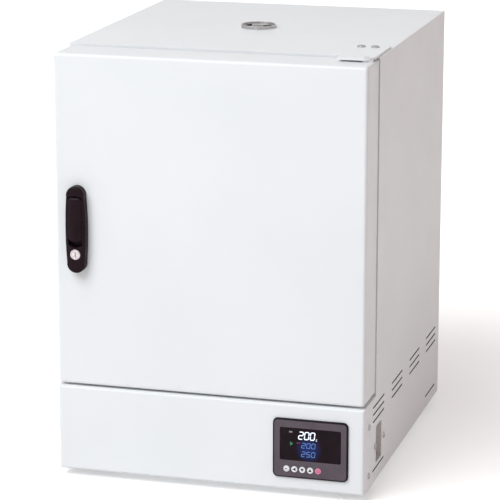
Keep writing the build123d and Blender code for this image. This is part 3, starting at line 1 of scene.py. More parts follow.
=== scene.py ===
import bmesh
import bpy
import json
from math import cos, pi, radians, sin, tan
from mathutils import Matrix, Vector


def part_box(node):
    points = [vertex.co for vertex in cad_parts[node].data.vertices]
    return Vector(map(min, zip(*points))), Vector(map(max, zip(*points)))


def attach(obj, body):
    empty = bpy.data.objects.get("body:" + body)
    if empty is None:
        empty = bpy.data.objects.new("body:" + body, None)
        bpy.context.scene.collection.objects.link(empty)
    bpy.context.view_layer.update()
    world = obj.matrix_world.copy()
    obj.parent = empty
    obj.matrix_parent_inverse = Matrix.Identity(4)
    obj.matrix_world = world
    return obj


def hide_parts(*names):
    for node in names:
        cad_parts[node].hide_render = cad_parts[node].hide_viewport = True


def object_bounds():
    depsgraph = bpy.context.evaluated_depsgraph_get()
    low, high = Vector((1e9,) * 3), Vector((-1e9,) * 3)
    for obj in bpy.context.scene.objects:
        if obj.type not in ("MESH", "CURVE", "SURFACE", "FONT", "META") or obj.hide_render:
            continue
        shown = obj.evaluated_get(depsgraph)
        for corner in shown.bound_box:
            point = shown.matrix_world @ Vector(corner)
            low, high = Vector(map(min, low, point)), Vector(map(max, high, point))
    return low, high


# Looks of a benchtop drying oven: materials, screws, display, marks, light and camera. Metres.

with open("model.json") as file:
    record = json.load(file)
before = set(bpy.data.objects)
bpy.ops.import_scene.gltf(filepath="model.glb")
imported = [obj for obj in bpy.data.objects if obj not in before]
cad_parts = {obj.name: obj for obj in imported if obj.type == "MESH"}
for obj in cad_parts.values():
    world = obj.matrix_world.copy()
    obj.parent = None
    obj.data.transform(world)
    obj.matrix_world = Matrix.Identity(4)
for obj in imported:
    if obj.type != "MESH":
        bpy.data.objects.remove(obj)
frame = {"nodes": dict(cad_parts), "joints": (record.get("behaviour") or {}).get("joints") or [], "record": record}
cad_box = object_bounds()
nodes = frame["nodes"]

MM = 0.001

# Corners of the spaces where shade is painted, near black: behind the control panel, and the walls of the side
# slots
PAINTED_SHADE_SPACES = (((-0.2039, -0.2335, 0.0111), (0.2039, 0.2343, 0.1239)),
               ((-0.20497, -0.19, 0.0245), (0.20497, 0.23, 0.0295)),
               ((-0.20497, -0.19, 0.0915), (0.20497, 0.23, 0.1155)))

# Screws, with how far each is turned in degrees
SCREW_SIDES = 40
SHARP_EDGE = radians(32)
FIRST_TURN = 17
TURN_STEP = 31

# Window film, from the bezel's edges
FILM_LEFT = 8.9 * MM
FILM_LOW = 23.2 * MM
FILM_RIGHT = 8.6 * MM
FILM_TOP = 11.0 * MM
FILM_CORNER_R = 2.2 * MM
FILM_T = 0.05 * MM
FILM_BEVEL = 0.03 * MM

# Blue glow in the window, from the glass's middle and its low edge
GLOW_LEFT = 1.0 * MM
GLOW_UP = 16 * MM
GLOW_REACH = (18 * MM, 1, 20 * MM)

# Figures and marks, with a digit's width, height, pitch and bar thickness in millimetres
MARK_T = 0.06 * MM
MARK_BEVEL = 0.02 * MM
SLANT = tan(radians(7))
LARGE_DIGIT = (5.4, 9.6, 7.6, 1.3)
SMALL_DIGIT = (4.4, 6.6, 6.5, 0.8)
UNIT_DIGIT = (1.3, 2.2, 2, 0.5)

# Dark rim of painted shade on the bezel's edge: steps out from the bezel's sides and back from its front, in
# millimetres
SHADE_RIM_CORNER_R = 6 * MM
SHADE_RIM_IN = 0.02 * MM
SHADE_RIM_OUT = 0.4 * MM
SHADE_RIM_FRONT = ((0.4, 0.9), (-0.7, -0.08), (-1.5, -0.06), (-1.6, 0), (-1.0, 0.02), (0.02, 1.02))

# Rings on the lock's face: radius and height pairs in millimetres
LOCK_SIDES = 64
LOCK_RINGS = (
    ("lock_rim", ((5.35, 0), (5.45, 0.28), (5.75, 0.42), (6.2, 0.42), (6.5, 0.28), (6.6, 0), (5.35, 0))),
    ("lock_step", ((3.95, 0), (4.05, 0.18), (4.45, 0.18), (4.55, 0), (3.95, 0))),
)

# Floor, with its glow near the object and far from it
FLOOR_HALF = 9.0
FLOOR_SQUARES = 24
NEAR_GLOW = 0.36
FAR_GLOW = 0.85
NEAR = 0.35
FAR = 1.5

# Soft light from all round
SOFT_COLOUR = (1.0, 0.915, 0.885, 1)
SOFT_LEVEL = 0.365
WHITE = (1, 1, 1, 1)

# Camera, round the point that it faces
AZIMUTH = radians(15.7257)
ELEVATION = radians(14.0775)
DISTANCE = 3.3141
TARGET = Vector((-0.0115, 0.00035, 0.2622))
LENS = 175.35
SENSOR = 36


# Materials

def srgb(red, green, blue):
    """A linear colour from one given on the 0-255 scale of a screen."""
    def channel(value):
        value /= 255
        return value / 12.92 if value <= 0.04045 else ((value + 0.055) / 1.055) ** 2.4
    return (channel(red), channel(green), channel(blue), 1.0)


def blank(name):
    """A new node material: itself, its tree and its main shader."""
    material = bpy.data.materials.new(name)
    material.use_nodes = True
    return material, material.node_tree, material.node_tree.nodes["Principled BSDF"]


def feed(tree, source, socket):
    """Gives an input its source: an output of another node, or a plain value."""
    if isinstance(source, bpy.types.NodeSocket):
        tree.links.new(source, socket)
    else:
        socket.default_value = source


def number_step(tree, operation, first, second):
    """Two numbers put together."""
    node = tree.nodes.new("ShaderNodeMath")
    node.operation = operation
    feed(tree, first, node.inputs[0])
    feed(tree, second, node.inputs[1])
    return node.outputs[0]


def vector_step(tree, operation, first, second):
    """Two vectors put together."""
    node = tree.nodes.new("ShaderNodeVectorMath")
    node.operation = operation
    feed(tree, first, node.inputs[0])
    feed(tree, second, node.inputs[1])
    return node.outputs["Vector"]


def length_of(tree, vector):
    """A vector's length."""
    node = tree.nodes.new("ShaderNodeVectorMath")
    node.operation = "LENGTH"
    feed(tree, vector, node.inputs[0])
    return node.outputs["Value"]


def object_coords(tree, stretch=(1, 1, 1)):
    """Object coordinates, stretched along the axes."""
    coords = tree.nodes.new("ShaderNodeTexCoord")
    mapping = tree.nodes.new("ShaderNodeMapping")
    mapping.inputs["Scale"].default_value = stretch
    feed(tree, coords.outputs["Object"], mapping.inputs["Vector"])
    return mapping.outputs["Vector"]


def noise(tree, scale, detail=3.0, stretch=(1, 1, 1)):
    """A noise pattern whose grains are about one over the scale, in metres."""
    node = tree.nodes.new("ShaderNodeTexNoise")
    node.inputs["Scale"].default_value = scale
    node.inputs["Detail"].default_value = detail
    feed(tree, object_coords(tree, stretch), node.inputs["Vector"])
    return node.outputs["Fac"]


def cells(tree, scale):
    """A pattern of flat cells, each with a level of its own."""
    node = tree.nodes.new("ShaderNodeTexVoronoi")
    node.inputs["Scale"].default_value = scale
    feed(tree, object_coords(tree), node.inputs["Vector"])
    split = tree.nodes.new("ShaderNodeSeparateColor")
    feed(tree, node.outputs["Color"], split.inputs["Color"])
    return split.outputs["Red"]


def remap(tree, value, low, high, start=0.3, end=0.7):
    """A pattern's values, stretched from start..end to low..high."""
    node = tree.nodes.new("ShaderNodeMapRange")
    node.inputs["From Min"].default_value = start
    node.inputs["From Max"].default_value = end
    node.inputs["To Min"].default_value = low
    node.inputs["To Max"].default_value = high
    feed(tree, value, node.inputs["Value"])
    return node.outputs["Result"]


def between(tree, value, first, second):
    """A colour that runs from the first to the second as the value rises."""
    node = tree.nodes.new("ShaderNodeMix")
    node.data_type = "RGBA"
    feed(tree, first, node.inputs["A"])
    feed(tree, second, node.inputs["B"])
    feed(tree, value, node.inputs["Factor"])
    return node.outputs["Result"]


def mottled(tree, scale, dark, light):
    """A colour that wanders between two others."""
    return between(tree, remap(tree, noise(tree, scale), 0, 1), dark, light)


def wandering(tree, scale, low, high):
    """A level that wanders between two others."""
    return remap(tree, noise(tree, scale), low, high)


def bumps(tree, shader, height, depth):
    """Raises the shader's surface by a pattern, to a depth in metres."""
    node = tree.nodes.new("ShaderNodeBump")
    node.inputs["Distance"].default_value = depth
    feed(tree, height, node.inputs["Height"])
    feed(tree, node.outputs["Normal"], shader.inputs["Normal"])


def inside_box(tree, low, high):
    """One within a box of object coordinates, in metres, and zero outside it."""
    split = tree.nodes.new("ShaderNodeSeparateXYZ")
    feed(tree, object_coords(tree), split.inputs[0])
    total = 1
    for axis in range(3):
        for limit, test in ((low[axis], "GREATER_THAN"), (high[axis], "LESS_THAN")):
            total = number_step(tree, "MINIMUM", total, number_step(tree, test, split.outputs[axis], limit))
    return total


def in_painted_shade(tree):
    """One in the control space and on the walls of the side slots, where shade is painted, and zero elsewhere."""
    total = 0
    for low, high in PAINTED_SHADE_SPACES:
        total = number_step(tree, "MAXIMUM", total, inside_box(tree, low, high))
    return total


def powder_coat(name, dark, light, rough):
    """Paint with an orange-peel surface, faint unevenness and a soft gloss, and painted shade near black inside.
    """
    material, tree, shader = blank(name)
    paint = mottled(tree, 5, dark, light)
    # Painted shade: near black in the control space and on the slot walls, so the slots read dark
    painted_shade = mottled(tree, 50, (0.02, 0.018, 0.018, 1), (0.035, 0.032, 0.03, 1))
    feed(tree, between(tree, in_painted_shade(tree), paint, painted_shade), shader.inputs["Base Color"])
    feed(tree, wandering(tree, 30, rough - 0.03, rough + 0.05), shader.inputs["Roughness"])
    shader.inputs["Specular IOR Level"].default_value = 0.35
    bumps(tree, shader, noise(tree, 420, detail=2), depth=0.00006)
    return material


def brushed(name, dark, light, rough, stretch, grain=60.0):
    """Metal with fine lines along one axis."""
    material, tree, shader = blank(name)
    shader.inputs["Metallic"].default_value = 1.0
    lines = noise(tree, grain, detail=5, stretch=stretch)
    feed(tree, between(tree, remap(tree, lines, 0, 1), dark, light), shader.inputs["Base Color"])
    feed(tree, remap(tree, lines, rough - 0.06, rough + 0.08), shader.inputs["Roughness"])
    bumps(tree, shader, lines, depth=0.00002)
    return material


def plated(name, dark, light, rough, smudge=90.0):
    """Turned or plated metal with faint smudges."""
    material, tree, shader = blank(name)
    shader.inputs["Metallic"].default_value = 1.0
    feed(tree, mottled(tree, smudge, dark, light), shader.inputs["Base Color"])
    feed(tree, wandering(tree, smudge * 2, rough - 0.05, rough + 0.1), shader.inputs["Roughness"])
    bumps(tree, shader, noise(tree, smudge * 12, detail=4), depth=0.00002)
    return material


def moulded(name, dark, light, rough, grain=1500.0, depth=0.00004, shine=0.35):
    """Plastic or rubber with a fine moulded grain."""
    material, tree, shader = blank(name)
    shader.inputs["Specular IOR Level"].default_value = shine
    feed(tree, mottled(tree, 40, dark, light), shader.inputs["Base Color"])
    feed(tree, wandering(tree, 200, rough - 0.05, rough + 0.07), shader.inputs["Roughness"])
    bumps(tree, shader, noise(tree, grain, detail=2), depth)
    return material


def spangled(name, dark, light, rough):
    """Zinc-coated sheet with its crystals."""
    material, tree, shader = blank(name)
    shader.inputs["Metallic"].default_value = 1.0
    spangle = cells(tree, 110)
    feed(tree, between(tree, spangle, dark, light), shader.inputs["Base Color"])
    gloss = remap(tree, spangle, rough - 0.08, rough + 0.08, start=0, end=1)
    feed(tree, gloss, shader.inputs["Roughness"])
    bumps(tree, shader, noise(tree, 600), depth=0.00003)
    return material


def fibrous(name, dark, light):
    """Mineral wool: tangled fibres in a felt."""
    material, tree, shader = blank(name)
    fibres = noise(tree, 260, detail=8, stretch=(1, 1, 3))
    feed(tree, between(tree, remap(tree, fibres, 0, 1), dark, light), shader.inputs["Base Color"])
    shader.inputs["Roughness"].default_value = 0.95
    shader.inputs["Sheen Weight"].default_value = 0.3
    bumps(tree, shader, fibres, depth=0.0012)
    return material


def glowing(name, colour, strength):
    """A lit segment of the display, a little uneven."""
    material, tree, shader = blank(name)
    dim = [0.8 * channel for channel in colour[:3]] + [1]
    uneven = mottled(tree, 900, dim, colour)
    feed(tree, uneven, shader.inputs["Base Color"])
    feed(tree, uneven, shader.inputs["Emission Color"])
    shader.inputs["Emission Strength"].default_value = strength
    shader.inputs["Roughness"].default_value = 0.4
    return material


def screen_glass(centre, reach):
    """The dark window: near black, warm, with a blue glow round the lower numbers."""
    material, tree, shader = blank("screen_glass")
    feed(tree, mottled(tree, 60, srgb(20, 8, 15), srgb(30, 16, 23)), shader.inputs["Base Color"])
    shader.inputs["Specular IOR Level"].default_value = 0.1
    coords = tree.nodes.new("ShaderNodeTexCoord")
    offset = vector_step(tree, "SUBTRACT", coords.outputs["Object"], centre)
    distance = length_of(tree, vector_step(tree, "DIVIDE", offset, reach))
    glow = remap(tree, distance, low=1, high=0, start=0.2, end=1.0)
    feed(tree, between(tree, glow, (0, 0, 0, 1), srgb(14, 40, 100)), shader.inputs["Emission Color"])
    shader.inputs["Emission Strength"].default_value = 1.0
    feed(tree, wandering(tree, 300, 0.12, 0.2), shader.inputs["Roughness"])
    return material


slots = {
    "painted_white": powder_coat("paint", srgb(234, 237, 240), srgb(238, 240, 243), rough=0.42),
    "galvanised": spangled("zinc", (0.40, 0.42, 0.44, 1), (0.62, 0.64, 0.66, 1), rough=0.42),
    "stainless": brushed("stainless", (0.50, 0.49, 0.48, 1), (0.66, 0.65, 0.64, 1), rough=0.30,
                         stretch=(1, 1, 0.04)),
    "steel": plated("steel", (0.42, 0.42, 0.43, 1), (0.58, 0.58, 0.59, 1), rough=0.35),
    "screw_steel": plated("screw_plating", (0.30, 0.29, 0.29, 1), (0.42, 0.41, 0.41, 1), rough=0.34,
                          smudge=300),
    "heater_sheath": plated("heater_sheath", (0.16, 0.13, 0.11, 1), (0.30, 0.24, 0.20, 1), rough=0.45,
                            smudge=60),
    "ceramic_white": moulded("ceramic", srgb(222, 216, 205), srgb(236, 231, 222), rough=0.6, grain=900),
    "exhaust_metal": brushed("exhaust_metal", (0.36, 0.35, 0.35, 1), (0.50, 0.49, 0.49, 1), rough=0.34,
                             stretch=(1, 0.05, 1), grain=260),
    "bare_aluminium": brushed("aluminium", (0.62, 0.63, 0.64, 1), (0.76, 0.77, 0.78, 1), rough=0.33,
                              stretch=(1, 1, 0.05), grain=120),
    "lock_metal": plated("lock_plating", (0.46, 0.42, 0.43, 1), (0.62, 0.57, 0.58, 1), rough=0.3,
                         smudge=240),
    "shelf_wire": plated("wire_polish", (0.58, 0.58, 0.58, 1), (0.74, 0.74, 0.74, 1), rough=0.22,
                         smudge=150),
    "black_rubber": moulded("rubber", srgb(34, 38, 37), srgb(52, 57, 55), rough=0.75, grain=900),
    "silicone": moulded("silicone", srgb(196, 193, 186), srgb(209, 206, 200), rough=0.55, grain=700),
    "mineral_wool": fibrous("mineral_wool", srgb(170, 158, 120), srgb(205, 195, 160)),
    "handle_plastic": moulded("handle_plastic", srgb(24, 11, 17), srgb(33, 18, 25), rough=0.36,
                              grain=1800, depth=0.00002, shine=0.08),
    "black_plastic": moulded("black_plastic", srgb(30, 28, 29), srgb(40, 38, 39), rough=0.45),
    "toggle_plastic": moulded("toggle_plastic", srgb(22, 21, 22), srgb(32, 31, 32), rough=0.4),
    "grey_plastic": moulded("grey_plastic", srgb(176, 172, 170), srgb(190, 186, 184), rough=0.5),
    "bush_plastic": moulded("bush_plastic", srgb(222, 218, 206), srgb(234, 230, 220), rough=0.5),
    "bezel_plastic": moulded("bezel_plastic", srgb(86, 77, 84), srgb(95, 86, 93), rough=0.55,
                             grain=1400, depth=0.00003, shine=0.2),
    "board_green": moulded("board", srgb(26, 74, 46), srgb(36, 92, 58), rough=0.45),
    "button_white": moulded("button_white", srgb(232, 232, 234), srgb(242, 242, 244), rough=0.42,
                            grain=1600),
    "button_red": moulded("button_red", srgb(216, 128, 156), srgb(228, 146, 172), rough=0.5, grain=1600),
}

lens_low, lens_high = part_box("display_lens")
lens_front = lens_low.y
glow_centre = ((lens_low.x + lens_high.x) / 2 - GLOW_LEFT, lens_front, lens_low.z + GLOW_UP)
slots["dark_lens"] = screen_glass(glow_centre, GLOW_REACH)

# Painted light: a lighter copy of the grey plastic for the breaker recess, to make up for its shade
recess_plastic_painted_light = moulded("recess_plastic_painted_light", srgb(208, 204, 202), srgb(218, 214, 212), rough=0.5)
painted_light_looks = {"breaker_recess": recess_plastic_painted_light}

for part in frame["record"]["subparts"]:
    mesh = nodes[part["node"]].data
    mesh.materials.clear()
    mesh.materials.append(painted_light_looks.get(part["node"], slots[part["material_slot"]]))


# Shapes

def in_scene(name, data):
    """A new object in the scene."""
    shape = bpy.data.objects.new(name, data)
    bpy.context.scene.collection.objects.link(shape)
    return shape


def piece(name, mesh, material, body):
    """Puts a mesh in the scene, with its material, on a body of the model."""
    mesh.materials.append(material)
    shape = in_scene(name, mesh)
    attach(shape, body)


def as_mesh(name, build):
    """Turns what was built into a mesh with its faces outwards."""
    bmesh.ops.recalc_face_normals(build, faces=build.faces)
    mesh = bpy.data.meshes.new(name)
    build.to_mesh(mesh)
    build.free()
    return mesh


def skin(build, first, second):
    """A band of faces from one loop of points to another."""
    count = len(first)
    for k in range(count):
        n = (k + 1) % count
        build.faces.new((first[k], first[n], second[n], second[k]))


def lathe(profile, steps):
    """A mesh turned round +Z from radius and height pairs, where a radius of zero is a point."""
    build = bmesh.new()
    rings = []
    for radius, height in profile:
        count = 1 if radius == 0 else steps
        angles = [2 * pi * k / steps for k in range(count)]
        rings.append([build.verts.new((radius * cos(angle), radius * sin(angle), height))
                      for angle in angles])
    for inner, outer in zip(rings, rings[1:]):
        for k in range(steps):
            n = (k + 1) % steps
            corners = [inner[k % len(inner)], inner[n % len(inner)],
                       outer[n % len(outer)], outer[k % len(outer)]]
            build.faces.new(list(dict.fromkeys(corners)))
    return as_mesh("turned", build)


def plate(outlines, surface_y, thickness, bevel):
    """A mesh of flat shapes in X and Z that stand off a surface towards -Y, with bevelled front edges."""
    build = bmesh.new()
    for outline in outlines:
        points = [Vector(point) for point in outline]
        middle = sum(points, Vector((0, 0))) / len(points)
        share = 1 - bevel / max((point - middle).length for point in points)
        loops = []
        for height, size in ((0, 1), (thickness - bevel, 1), (thickness, share)):
            scaled = [middle + (point - middle) * size for point in points]
            loops.append([build.verts.new((point.x, surface_y - height, point.y)) for point in scaled])
        back, side, front = loops
        build.faces.new(back)
        build.faces.new(front)
        skin(build, back, side)
        skin(build, side, front)
    return as_mesh("plate", build)


def arc_outline(low_x, low_z, high_x, high_z, radius, steps=8):
    """A rectangle's outline with round corners."""
    points = []
    for x, z, start in ((high_x - radius, high_z - radius, 0), (low_x + radius, high_z - radius, 90),
                        (low_x + radius, low_z + radius, 180), (high_x - radius, low_z + radius, 270)):
        for step in range(steps + 1):
            angle = radians(start + 90 * step / steps)
            points.append((x + radius * cos(angle), z + radius * sin(angle)))
    return points


def wrap(low, high, radius, profile):
    """A ring swept round a rectangle with round corners, from a profile of outward offset and Y pairs."""
    build = bmesh.new()
    loops = []
    for offset, y in profile:
        outline = arc_outline(low.x - offset, low.z - offset, high.x + offset, high.z + offset,
                              radius + offset)
        loops.append([build.verts.new((x, y, z)) for x, z in outline])
    for first, second in zip(loops, loops[1:] + loops[:1]):
        skin(build, first, second)
    return as_mesh("wrap", build)


def moved(outlines, x, z):
    """Outlines moved in X and Z."""
    return [[(x + a, z + b) for a, b in outline] for outline in outlines]


def bar(x0, x1, z0, z1):
    """A rectangle's outline, from millimetres."""
    return [(x0 * MM, z0 * MM), (x1 * MM, z0 * MM), (x1 * MM, z1 * MM), (x0 * MM, z1 * MM)]


def triangle(*corners):
    """A triangle's outline, from millimetres."""
    return [(x * MM, z * MM) for x, z in corners]


# Screws: each replaces the plain one in its place

def cut(mesh, cutter_mesh):
    """A mesh with the space of another taken out."""
    shape = in_scene("screw", mesh)
    cutter = in_scene("cross", cutter_mesh)
    difference = shape.modifiers.new("cut", "BOOLEAN")
    difference.operation = "DIFFERENCE"
    difference.solver = "EXACT"
    difference.object = cutter
    bpy.context.view_layer.update()
    graph = bpy.context.evaluated_depsgraph_get()
    result = bpy.data.meshes.new_from_object(shape.evaluated_get(graph))
    bpy.data.objects.remove(cutter)
    bpy.data.objects.remove(shape)
    return result


def cross_mesh(width, reach, depth, top):
    """The tapered cross of a screwdriver's tip."""
    build = bmesh.new()
    loops = []
    for height, share in ((top - depth, 0.45), (top + depth, 1.55)):
        arm = reach * share
        half = width / 2 * (0.7 + 0.3 * share)
        corners = [(arm, -half), (arm, half), (half, half)]
        for _ in range(3):
            corners += [(-y, x) for x, y in corners[-3:]]
        loops.append([build.verts.new((x, y, height)) for x, y in corners])
    low_loop, high_loop = loops
    build.faces.new(low_loop[::-1])
    build.faces.new(high_loop)
    skin(build, low_loop, high_loop)
    return as_mesh("cross", build)


def screw_mesh(radius, head_r, head_h, length):
    """A pan-head screw with a cross recess, its seat at zero and its head up +Z."""
    shank = [(0, -length), (radius * 0.7, -length), (radius, -length + radius * 0.5), (radius, 0)]
    rim = [(head_r * 0.97, 0), (head_r, head_h * 0.08)]
    crown = [(head_r * cos(angle), head_h * (0.35 + 0.65 * sin(angle)))
             for angle in (radians(step) for step in (0, 15, 30, 45, 60, 72))]
    whole = lathe(shank + rim + crown + [(0, head_h)], SCREW_SIDES)
    cross = cross_mesh(width=head_r * 0.3, reach=head_r * 0.5, depth=head_h * 0.8, top=head_h)
    mesh = cut(whole, cross)
    mesh.materials.append(slots["screw_steel"])
    mesh.shade_smooth()
    mesh.set_sharp_from_angle(angle=SHARP_EDGE)
    return mesh


def joined_points(start, seen):
    """The places of all the points that hang together with one, which are noted as seen."""
    places = []
    queue = [start]
    seen.add(start.index)
    while queue:
        vertex = queue.pop()
        places.append(vertex.co.copy())
        for edge in vertex.link_edges:
            other = edge.other_vert(vertex)
            if other.index not in seen:
                seen.add(other.index)
                queue.append(other)
    return places


def islands(node):
    """The low and the high corner of each separate solid of a node."""
    build = bmesh.new()
    build.from_mesh(nodes[node].data)
    bmesh.ops.remove_doubles(build, verts=build.verts, dist=1e-6)
    boxes = []
    seen = set()
    for start in build.verts:
        if start.index in seen:
            continue
        places = joined_points(start, seen)
        boxes.append([Vector([pick(place[k] for place in places) for k in range(3)])
                      for pick in (min, max)])
    build.free()
    return boxes


def dress_screws(node, radius, head_r, head_h, length):
    """A detailed screw on each solid of a node, its head away from the oven's middle."""
    mesh = screw_mesh(radius, head_r, head_h, length)
    middle = (cad_box[0] + cad_box[1]) / 2
    for number, (low, high) in enumerate(islands(node)):
        place, size = (low + high) / 2, high - low
        axis = min(range(3), key=lambda k: abs(size[k] - length - head_h))
        out = 1 if place[axis] > middle[axis] else -1
        place[axis] = high[axis] - head_h if out > 0 else low[axis] + head_h
        facing = Vector([out if k == axis else 0 for k in range(3)])
        aim = facing.to_track_quat("Z", "Y").to_matrix().to_4x4()
        turn = Matrix.Rotation(radians(FIRST_TURN + TURN_STEP * number), 4, "Z")
        shape = in_scene(f"{node}.{number + 1}", mesh)
        shape.matrix_world = Matrix.Translation(place) @ aim @ turn
        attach(shape, "cabinet")
        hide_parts(node)


dress_screws("m4_screws", radius=2 * MM, head_r=4.2 * MM, head_h=2 * MM, length=7 * MM)
dress_screws("m5_screws", radius=2.5 * MM, head_r=5.5 * MM, head_h=2.4 * MM, length=9 * MM)


# Display: a film with round corners reaches a little past the window's seat, and carries the figures

DIGIT_BARS = {"0": "abcdef", "2": "abged", "5": "afgcd", "C": "afed"}


def bar_ends(width, height):
    """Where the seven bars of a digit start and end, from the digit's low left corner."""
    half = height / 2
    return {"a": ((0, height), (width, height)), "g": ((0, half), (width, half)),
            "d": ((0, 0), (width, 0)), "f": ((0, half), (0, height)), "e": ((0, 0), (0, half)),
            "b": ((width, half), (width, height)), "c": ((width, 0), (width, half))}


def segment(start, end, thick):
    """The outline of one bar with pointed ends, level or upright."""
    (x0, z0), (x1, z1) = start, end
    gap, t = thick * 0.12, thick / 2
    if z0 == z1:
        return [(x0 + gap, z0), (x0 + t, z0 - t), (x1 - t, z0 - t),
                (x1 - gap, z0), (x1 - t, z0 + t), (x0 + t, z0 + t)]
    return [(x0, z0 + gap), (x0 + t, z0 + t), (x0 + t, z1 - t),
            (x0, z1 - gap), (x0 - t, z1 - t), (x0 - t, z0 + t)]


def number_outlines(text, width, height, pitch, thick):
    """The outlines of a row of slanted digits, from millimetres."""
    ends = bar_ends(width * MM, height * MM)
    outlines = []
    for place, digit in enumerate(text):
        left = place * pitch * MM
        for name in DIGIT_BARS[digit]:
            outline = segment(*ends[name], thick * MM)
            outlines.append([(left + x + z * SLANT, z) for x, z in outline])
    return outlines


def on_window(name, outlines, material, left, low):
    """Shapes on the window, placed from the bezel's low left corner in millimetres."""
    placed = moved(outlines, bezel_low.x + left * MM, bezel_low.z + low * MM)
    mesh = plate(placed, lens_front - FILM_T, MARK_T, MARK_BEVEL)
    piece(name, mesh, material, "cabinet")


bezel_low, bezel_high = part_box("controller_bezel")
film = arc_outline(bezel_low.x + FILM_LEFT, bezel_low.z + FILM_LOW, bezel_high.x - FILM_RIGHT,
                   bezel_high.z - FILM_TOP, FILM_CORNER_R)
film_mesh = plate([film], lens_front, FILM_T, FILM_BEVEL)
piece("window_film", film_mesh, slots["dark_lens"], "cabinet")

digit_white = glowing("digit_white", srgb(228, 240, 250), strength=0.9)
digit_blue = glowing("digit_blue", srgb(84, 126, 190), strength=0.42)
lamp_green = glowing("lamp_green", srgb(26, 112, 76), strength=0.4)
lamp_red = glowing("lamp_red", srgb(84, 18, 36), strength=0.4)
label_grey = glowing("label_grey", srgb(150, 146, 152), strength=0.3)
label_bars = [bar(k * 1.5, k * 1.5 + 1.1, 0, 2) for k in range(3)]

on_window("digits_top", number_outlines("200", *LARGE_DIGIT), digit_white, left=33.6, low=52.6)
on_window("digits_unit", number_outlines("C", *UNIT_DIGIT), digit_white, left=56.8, low=51.6)
on_window("digits_middle", number_outlines("200", *SMALL_DIGIT), digit_blue, left=37.6, low=41.0)
on_window("digits_low", number_outlines("250", *SMALL_DIGIT), digit_blue, left=37.4, low=29.4)
on_window("label", label_bars, label_grey, left=21.4, low=60.4)
on_window("lamp_green", [triangle((0, 0), (4, 3), (0, 6))], lamp_green, left=22.6, low=42.6)
on_window("lamp_red", [bar(0, 4.6, 0, 1.6)], lamp_red, left=31.2, low=46.4)


# Marks on the buttons

def open_ring(radius, width, start, end, parts):
    """A stretch of a ring as short quadrilaterals between two angles, from millimetres."""
    inner, outer = (radius - width / 2) * MM, (radius + width / 2) * MM
    angles = [radians(start + (end - start) * k / parts) for k in range(parts + 1)]
    return [[(inner * cos(first), inner * sin(first)), (outer * cos(first), outer * sin(first)),
             (outer * cos(second), outer * sin(second)), (inner * cos(second), inner * sin(second))]
            for first, second in zip(angles, angles[1:])]


# Near black for the printed marks on the buttons, and for the painted shade on the bezel's edge
print_and_shade_dark = moulded("print_and_shade_dark", srgb(18, 12, 18), srgb(32, 26, 32), rough=0.6, shine=0.1)
mark_red = moulded("mark_red", srgb(176, 52, 92), srgb(190, 66, 104), rough=0.6)
left_arrow = [triangle((1.7, 2.1), (1.7, -2.1), (-2.3, 0))]
down_arrow = [triangle((-2.1, 1.6), (2.1, 1.6), (0, -2.3))]
up_arrow = [triangle((-2.1, -1.6), (2.1, -1.6), (0, 2.3))]
return_sign = [bar(-2.2, 1.2, -0.45, 0.45)]
return_sign += open_ring(radius=2.5, width=0.35, start=200, end=340, parts=9)
power_sign = open_ring(radius=1.7, width=0.5, start=125, end=415, parts=18)
power_sign += [bar(-0.25, 0.25, 0.5, 2.3)]

for number, sign, material, slot in (
        (2, left_arrow, print_and_shade_dark, "button_white"), (3, down_arrow, print_and_shade_dark, "button_white"),
        (4, up_arrow, print_and_shade_dark, "button_white"), (1, return_sign, print_and_shade_dark, "button_white"),
        (5, power_sign, mark_red, "button_red")):
    low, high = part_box(f"button_{number}")
    placed = moved(sign, (low.x + high.x) / 2, (low.z + high.z) / 2)
    mesh = plate(placed, low.y, MARK_T, MARK_BEVEL)
    piece(f"button_mark_{number}", mesh, material, f"button_{number}")


# A near-black rim wraps the bezel's edge and its chamfer: painted shade on them

panel_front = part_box("control_panel")[0].y
shade_rim_profile = [(SHADE_RIM_IN, panel_front), (SHADE_RIM_OUT, panel_front)]
shade_rim_profile += [(out * MM, bezel_low.y + depth * MM) for out, depth in SHADE_RIM_FRONT]
rim = wrap(bezel_low, bezel_high, SHADE_RIM_CORNER_R, shade_rim_profile)
piece("bezel_painted_shade_rim", rim, print_and_shade_dark, "cabinet")


# The lock's face: a rolled rim and a stepped plug round the keyway, on the axis that the lock turns about

lock_joint = next(joint for joint in frame["joints"] if joint["name"] == "lock_turn")
lock_face = Vector(lock_joint["pos_m"])
lock_face.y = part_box("lock_barrel")[0].y

for name, profile in LOCK_RINGS:
    ring = lathe([(radius * MM, height * MM) for radius, height in profile], LOCK_SIDES)
    ring.transform(Matrix.Translation(lock_face) @ Matrix.Rotation(radians(90), 4, "X"))
    ring.shade_smooth()
    piece(name, ring, slots["lock_metal"], "lock")


# Floor: pale, with a white glow that only the camera and mirrors see, so the shadow stays

def seen_or_mirrored(tree):
    """One for rays from the camera, a mirror or a glass, and zero for the rest."""
    path = tree.nodes.new("ShaderNodeLightPath")
    total = path.outputs["Is Camera Ray"]
    for kind in ("Is Glossy Ray", "Is Transmission Ray"):
        total = number_step(tree, "MAXIMUM", total, path.outputs[kind])
    return total


def floor_paint():
    """Pale grey, with a glow that grows with the distance from the object."""
    material, tree, shader = blank("floor_paint")
    grey = mottled(tree, 3, (0.885, 0.885, 0.885, 1), (0.9, 0.9, 0.9, 1))
    feed(tree, grey, shader.inputs["Base Color"])
    shader.inputs["Roughness"].default_value = 0.9
    shader.inputs["Specular IOR Level"].default_value = 0.1
    shader.inputs["Emission Color"].default_value = WHITE
    distance = length_of(tree, object_coords(tree))
    glow = remap(tree, distance, low=NEAR_GLOW, high=FAR_GLOW, start=NEAR, end=FAR)
    strength = number_step(tree, "MULTIPLY", glow, seen_or_mirrored(tree))
    feed(tree, strength, shader.inputs["Emission Strength"])
    return material


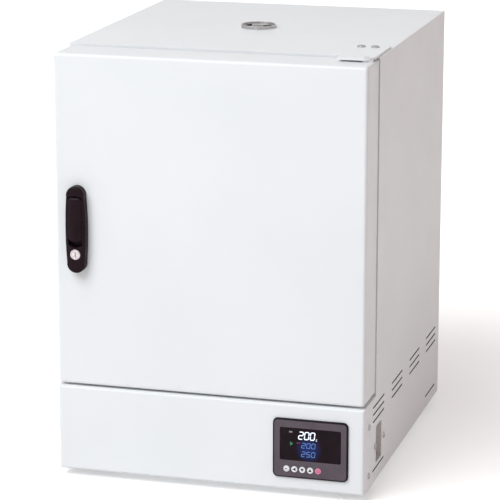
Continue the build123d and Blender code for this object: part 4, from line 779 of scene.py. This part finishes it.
build = bmesh.new()
bmesh.ops.create_grid(build, x_segments=FLOOR_SQUARES, y_segments=FLOOR_SQUARES, size=FLOOR_HALF)
floor_mesh = bpy.data.meshes.new("floor")
build.to_mesh(floor_mesh)
build.free()
floor_mesh.materials.append(floor_paint())
floor = in_scene("floor", floor_mesh)


# World: white where it is seen or mirrored, and a plain soft light elsewhere

def backdrop(tree, colour, level):
    """A background of one colour."""
    node = tree.nodes.new("ShaderNodeBackground")
    node.inputs["Color"].default_value = colour
    node.inputs["Strength"].default_value = level
    return node.outputs[0]


world = bpy.data.worlds.new("studio")
bpy.context.scene.world = world
world.use_nodes = True
tree = world.node_tree
tree.nodes.clear()
mix = tree.nodes.new("ShaderNodeMixShader")
output = tree.nodes.new("ShaderNodeOutputWorld")
feed(tree, seen_or_mirrored(tree), mix.inputs["Fac"])
feed(tree, backdrop(tree, SOFT_COLOUR, SOFT_LEVEL), mix.inputs[1])
feed(tree, backdrop(tree, WHITE, 1.0), mix.inputs[2])
feed(tree, mix.outputs[0], output.inputs["Surface"])


# Lamps

def area_light(name, place, aim, size, power, colour):
    """A soft square light that faces a point."""
    data = bpy.data.lights.new(name, "AREA")
    data.size = size
    data.energy = power
    data.color = colour
    lamp = in_scene(name, data)
    lamp.location = place
    lamp.rotation_euler = (Vector(aim) - Vector(place)).to_track_quat("-Z", "Y").to_euler()


area_light("key", place=(-1.3, -2.7, 3.45), aim=(0, -0.1, 0.3), size=2.8, power=150,
           colour=(0.92, 0.965, 0.98))
area_light("warm_fill", place=(3.4, -0.4, 1.3), aim=(0.2, 0, 0.3), size=1.6, power=6,
           colour=(1.0, 0.45, 0.34))


# Camera

back = Vector((sin(AZIMUTH) * cos(ELEVATION), -cos(AZIMUTH) * cos(ELEVATION), sin(ELEVATION)))
camera_data = bpy.data.cameras.new("camera")
camera_data.lens = LENS
camera_data.sensor_width = SENSOR
camera = in_scene("camera", camera_data)
camera.location = TARGET + back * DISTANCE
camera.rotation_mode = "QUATERNION"
camera.rotation_quaternion = (-back).to_track_quat("-Z", "Y")
bpy.context.scene.camera = camera

bpy.context.scene.view_settings.view_transform = "Standard"

bpy.context.view_layer.update()
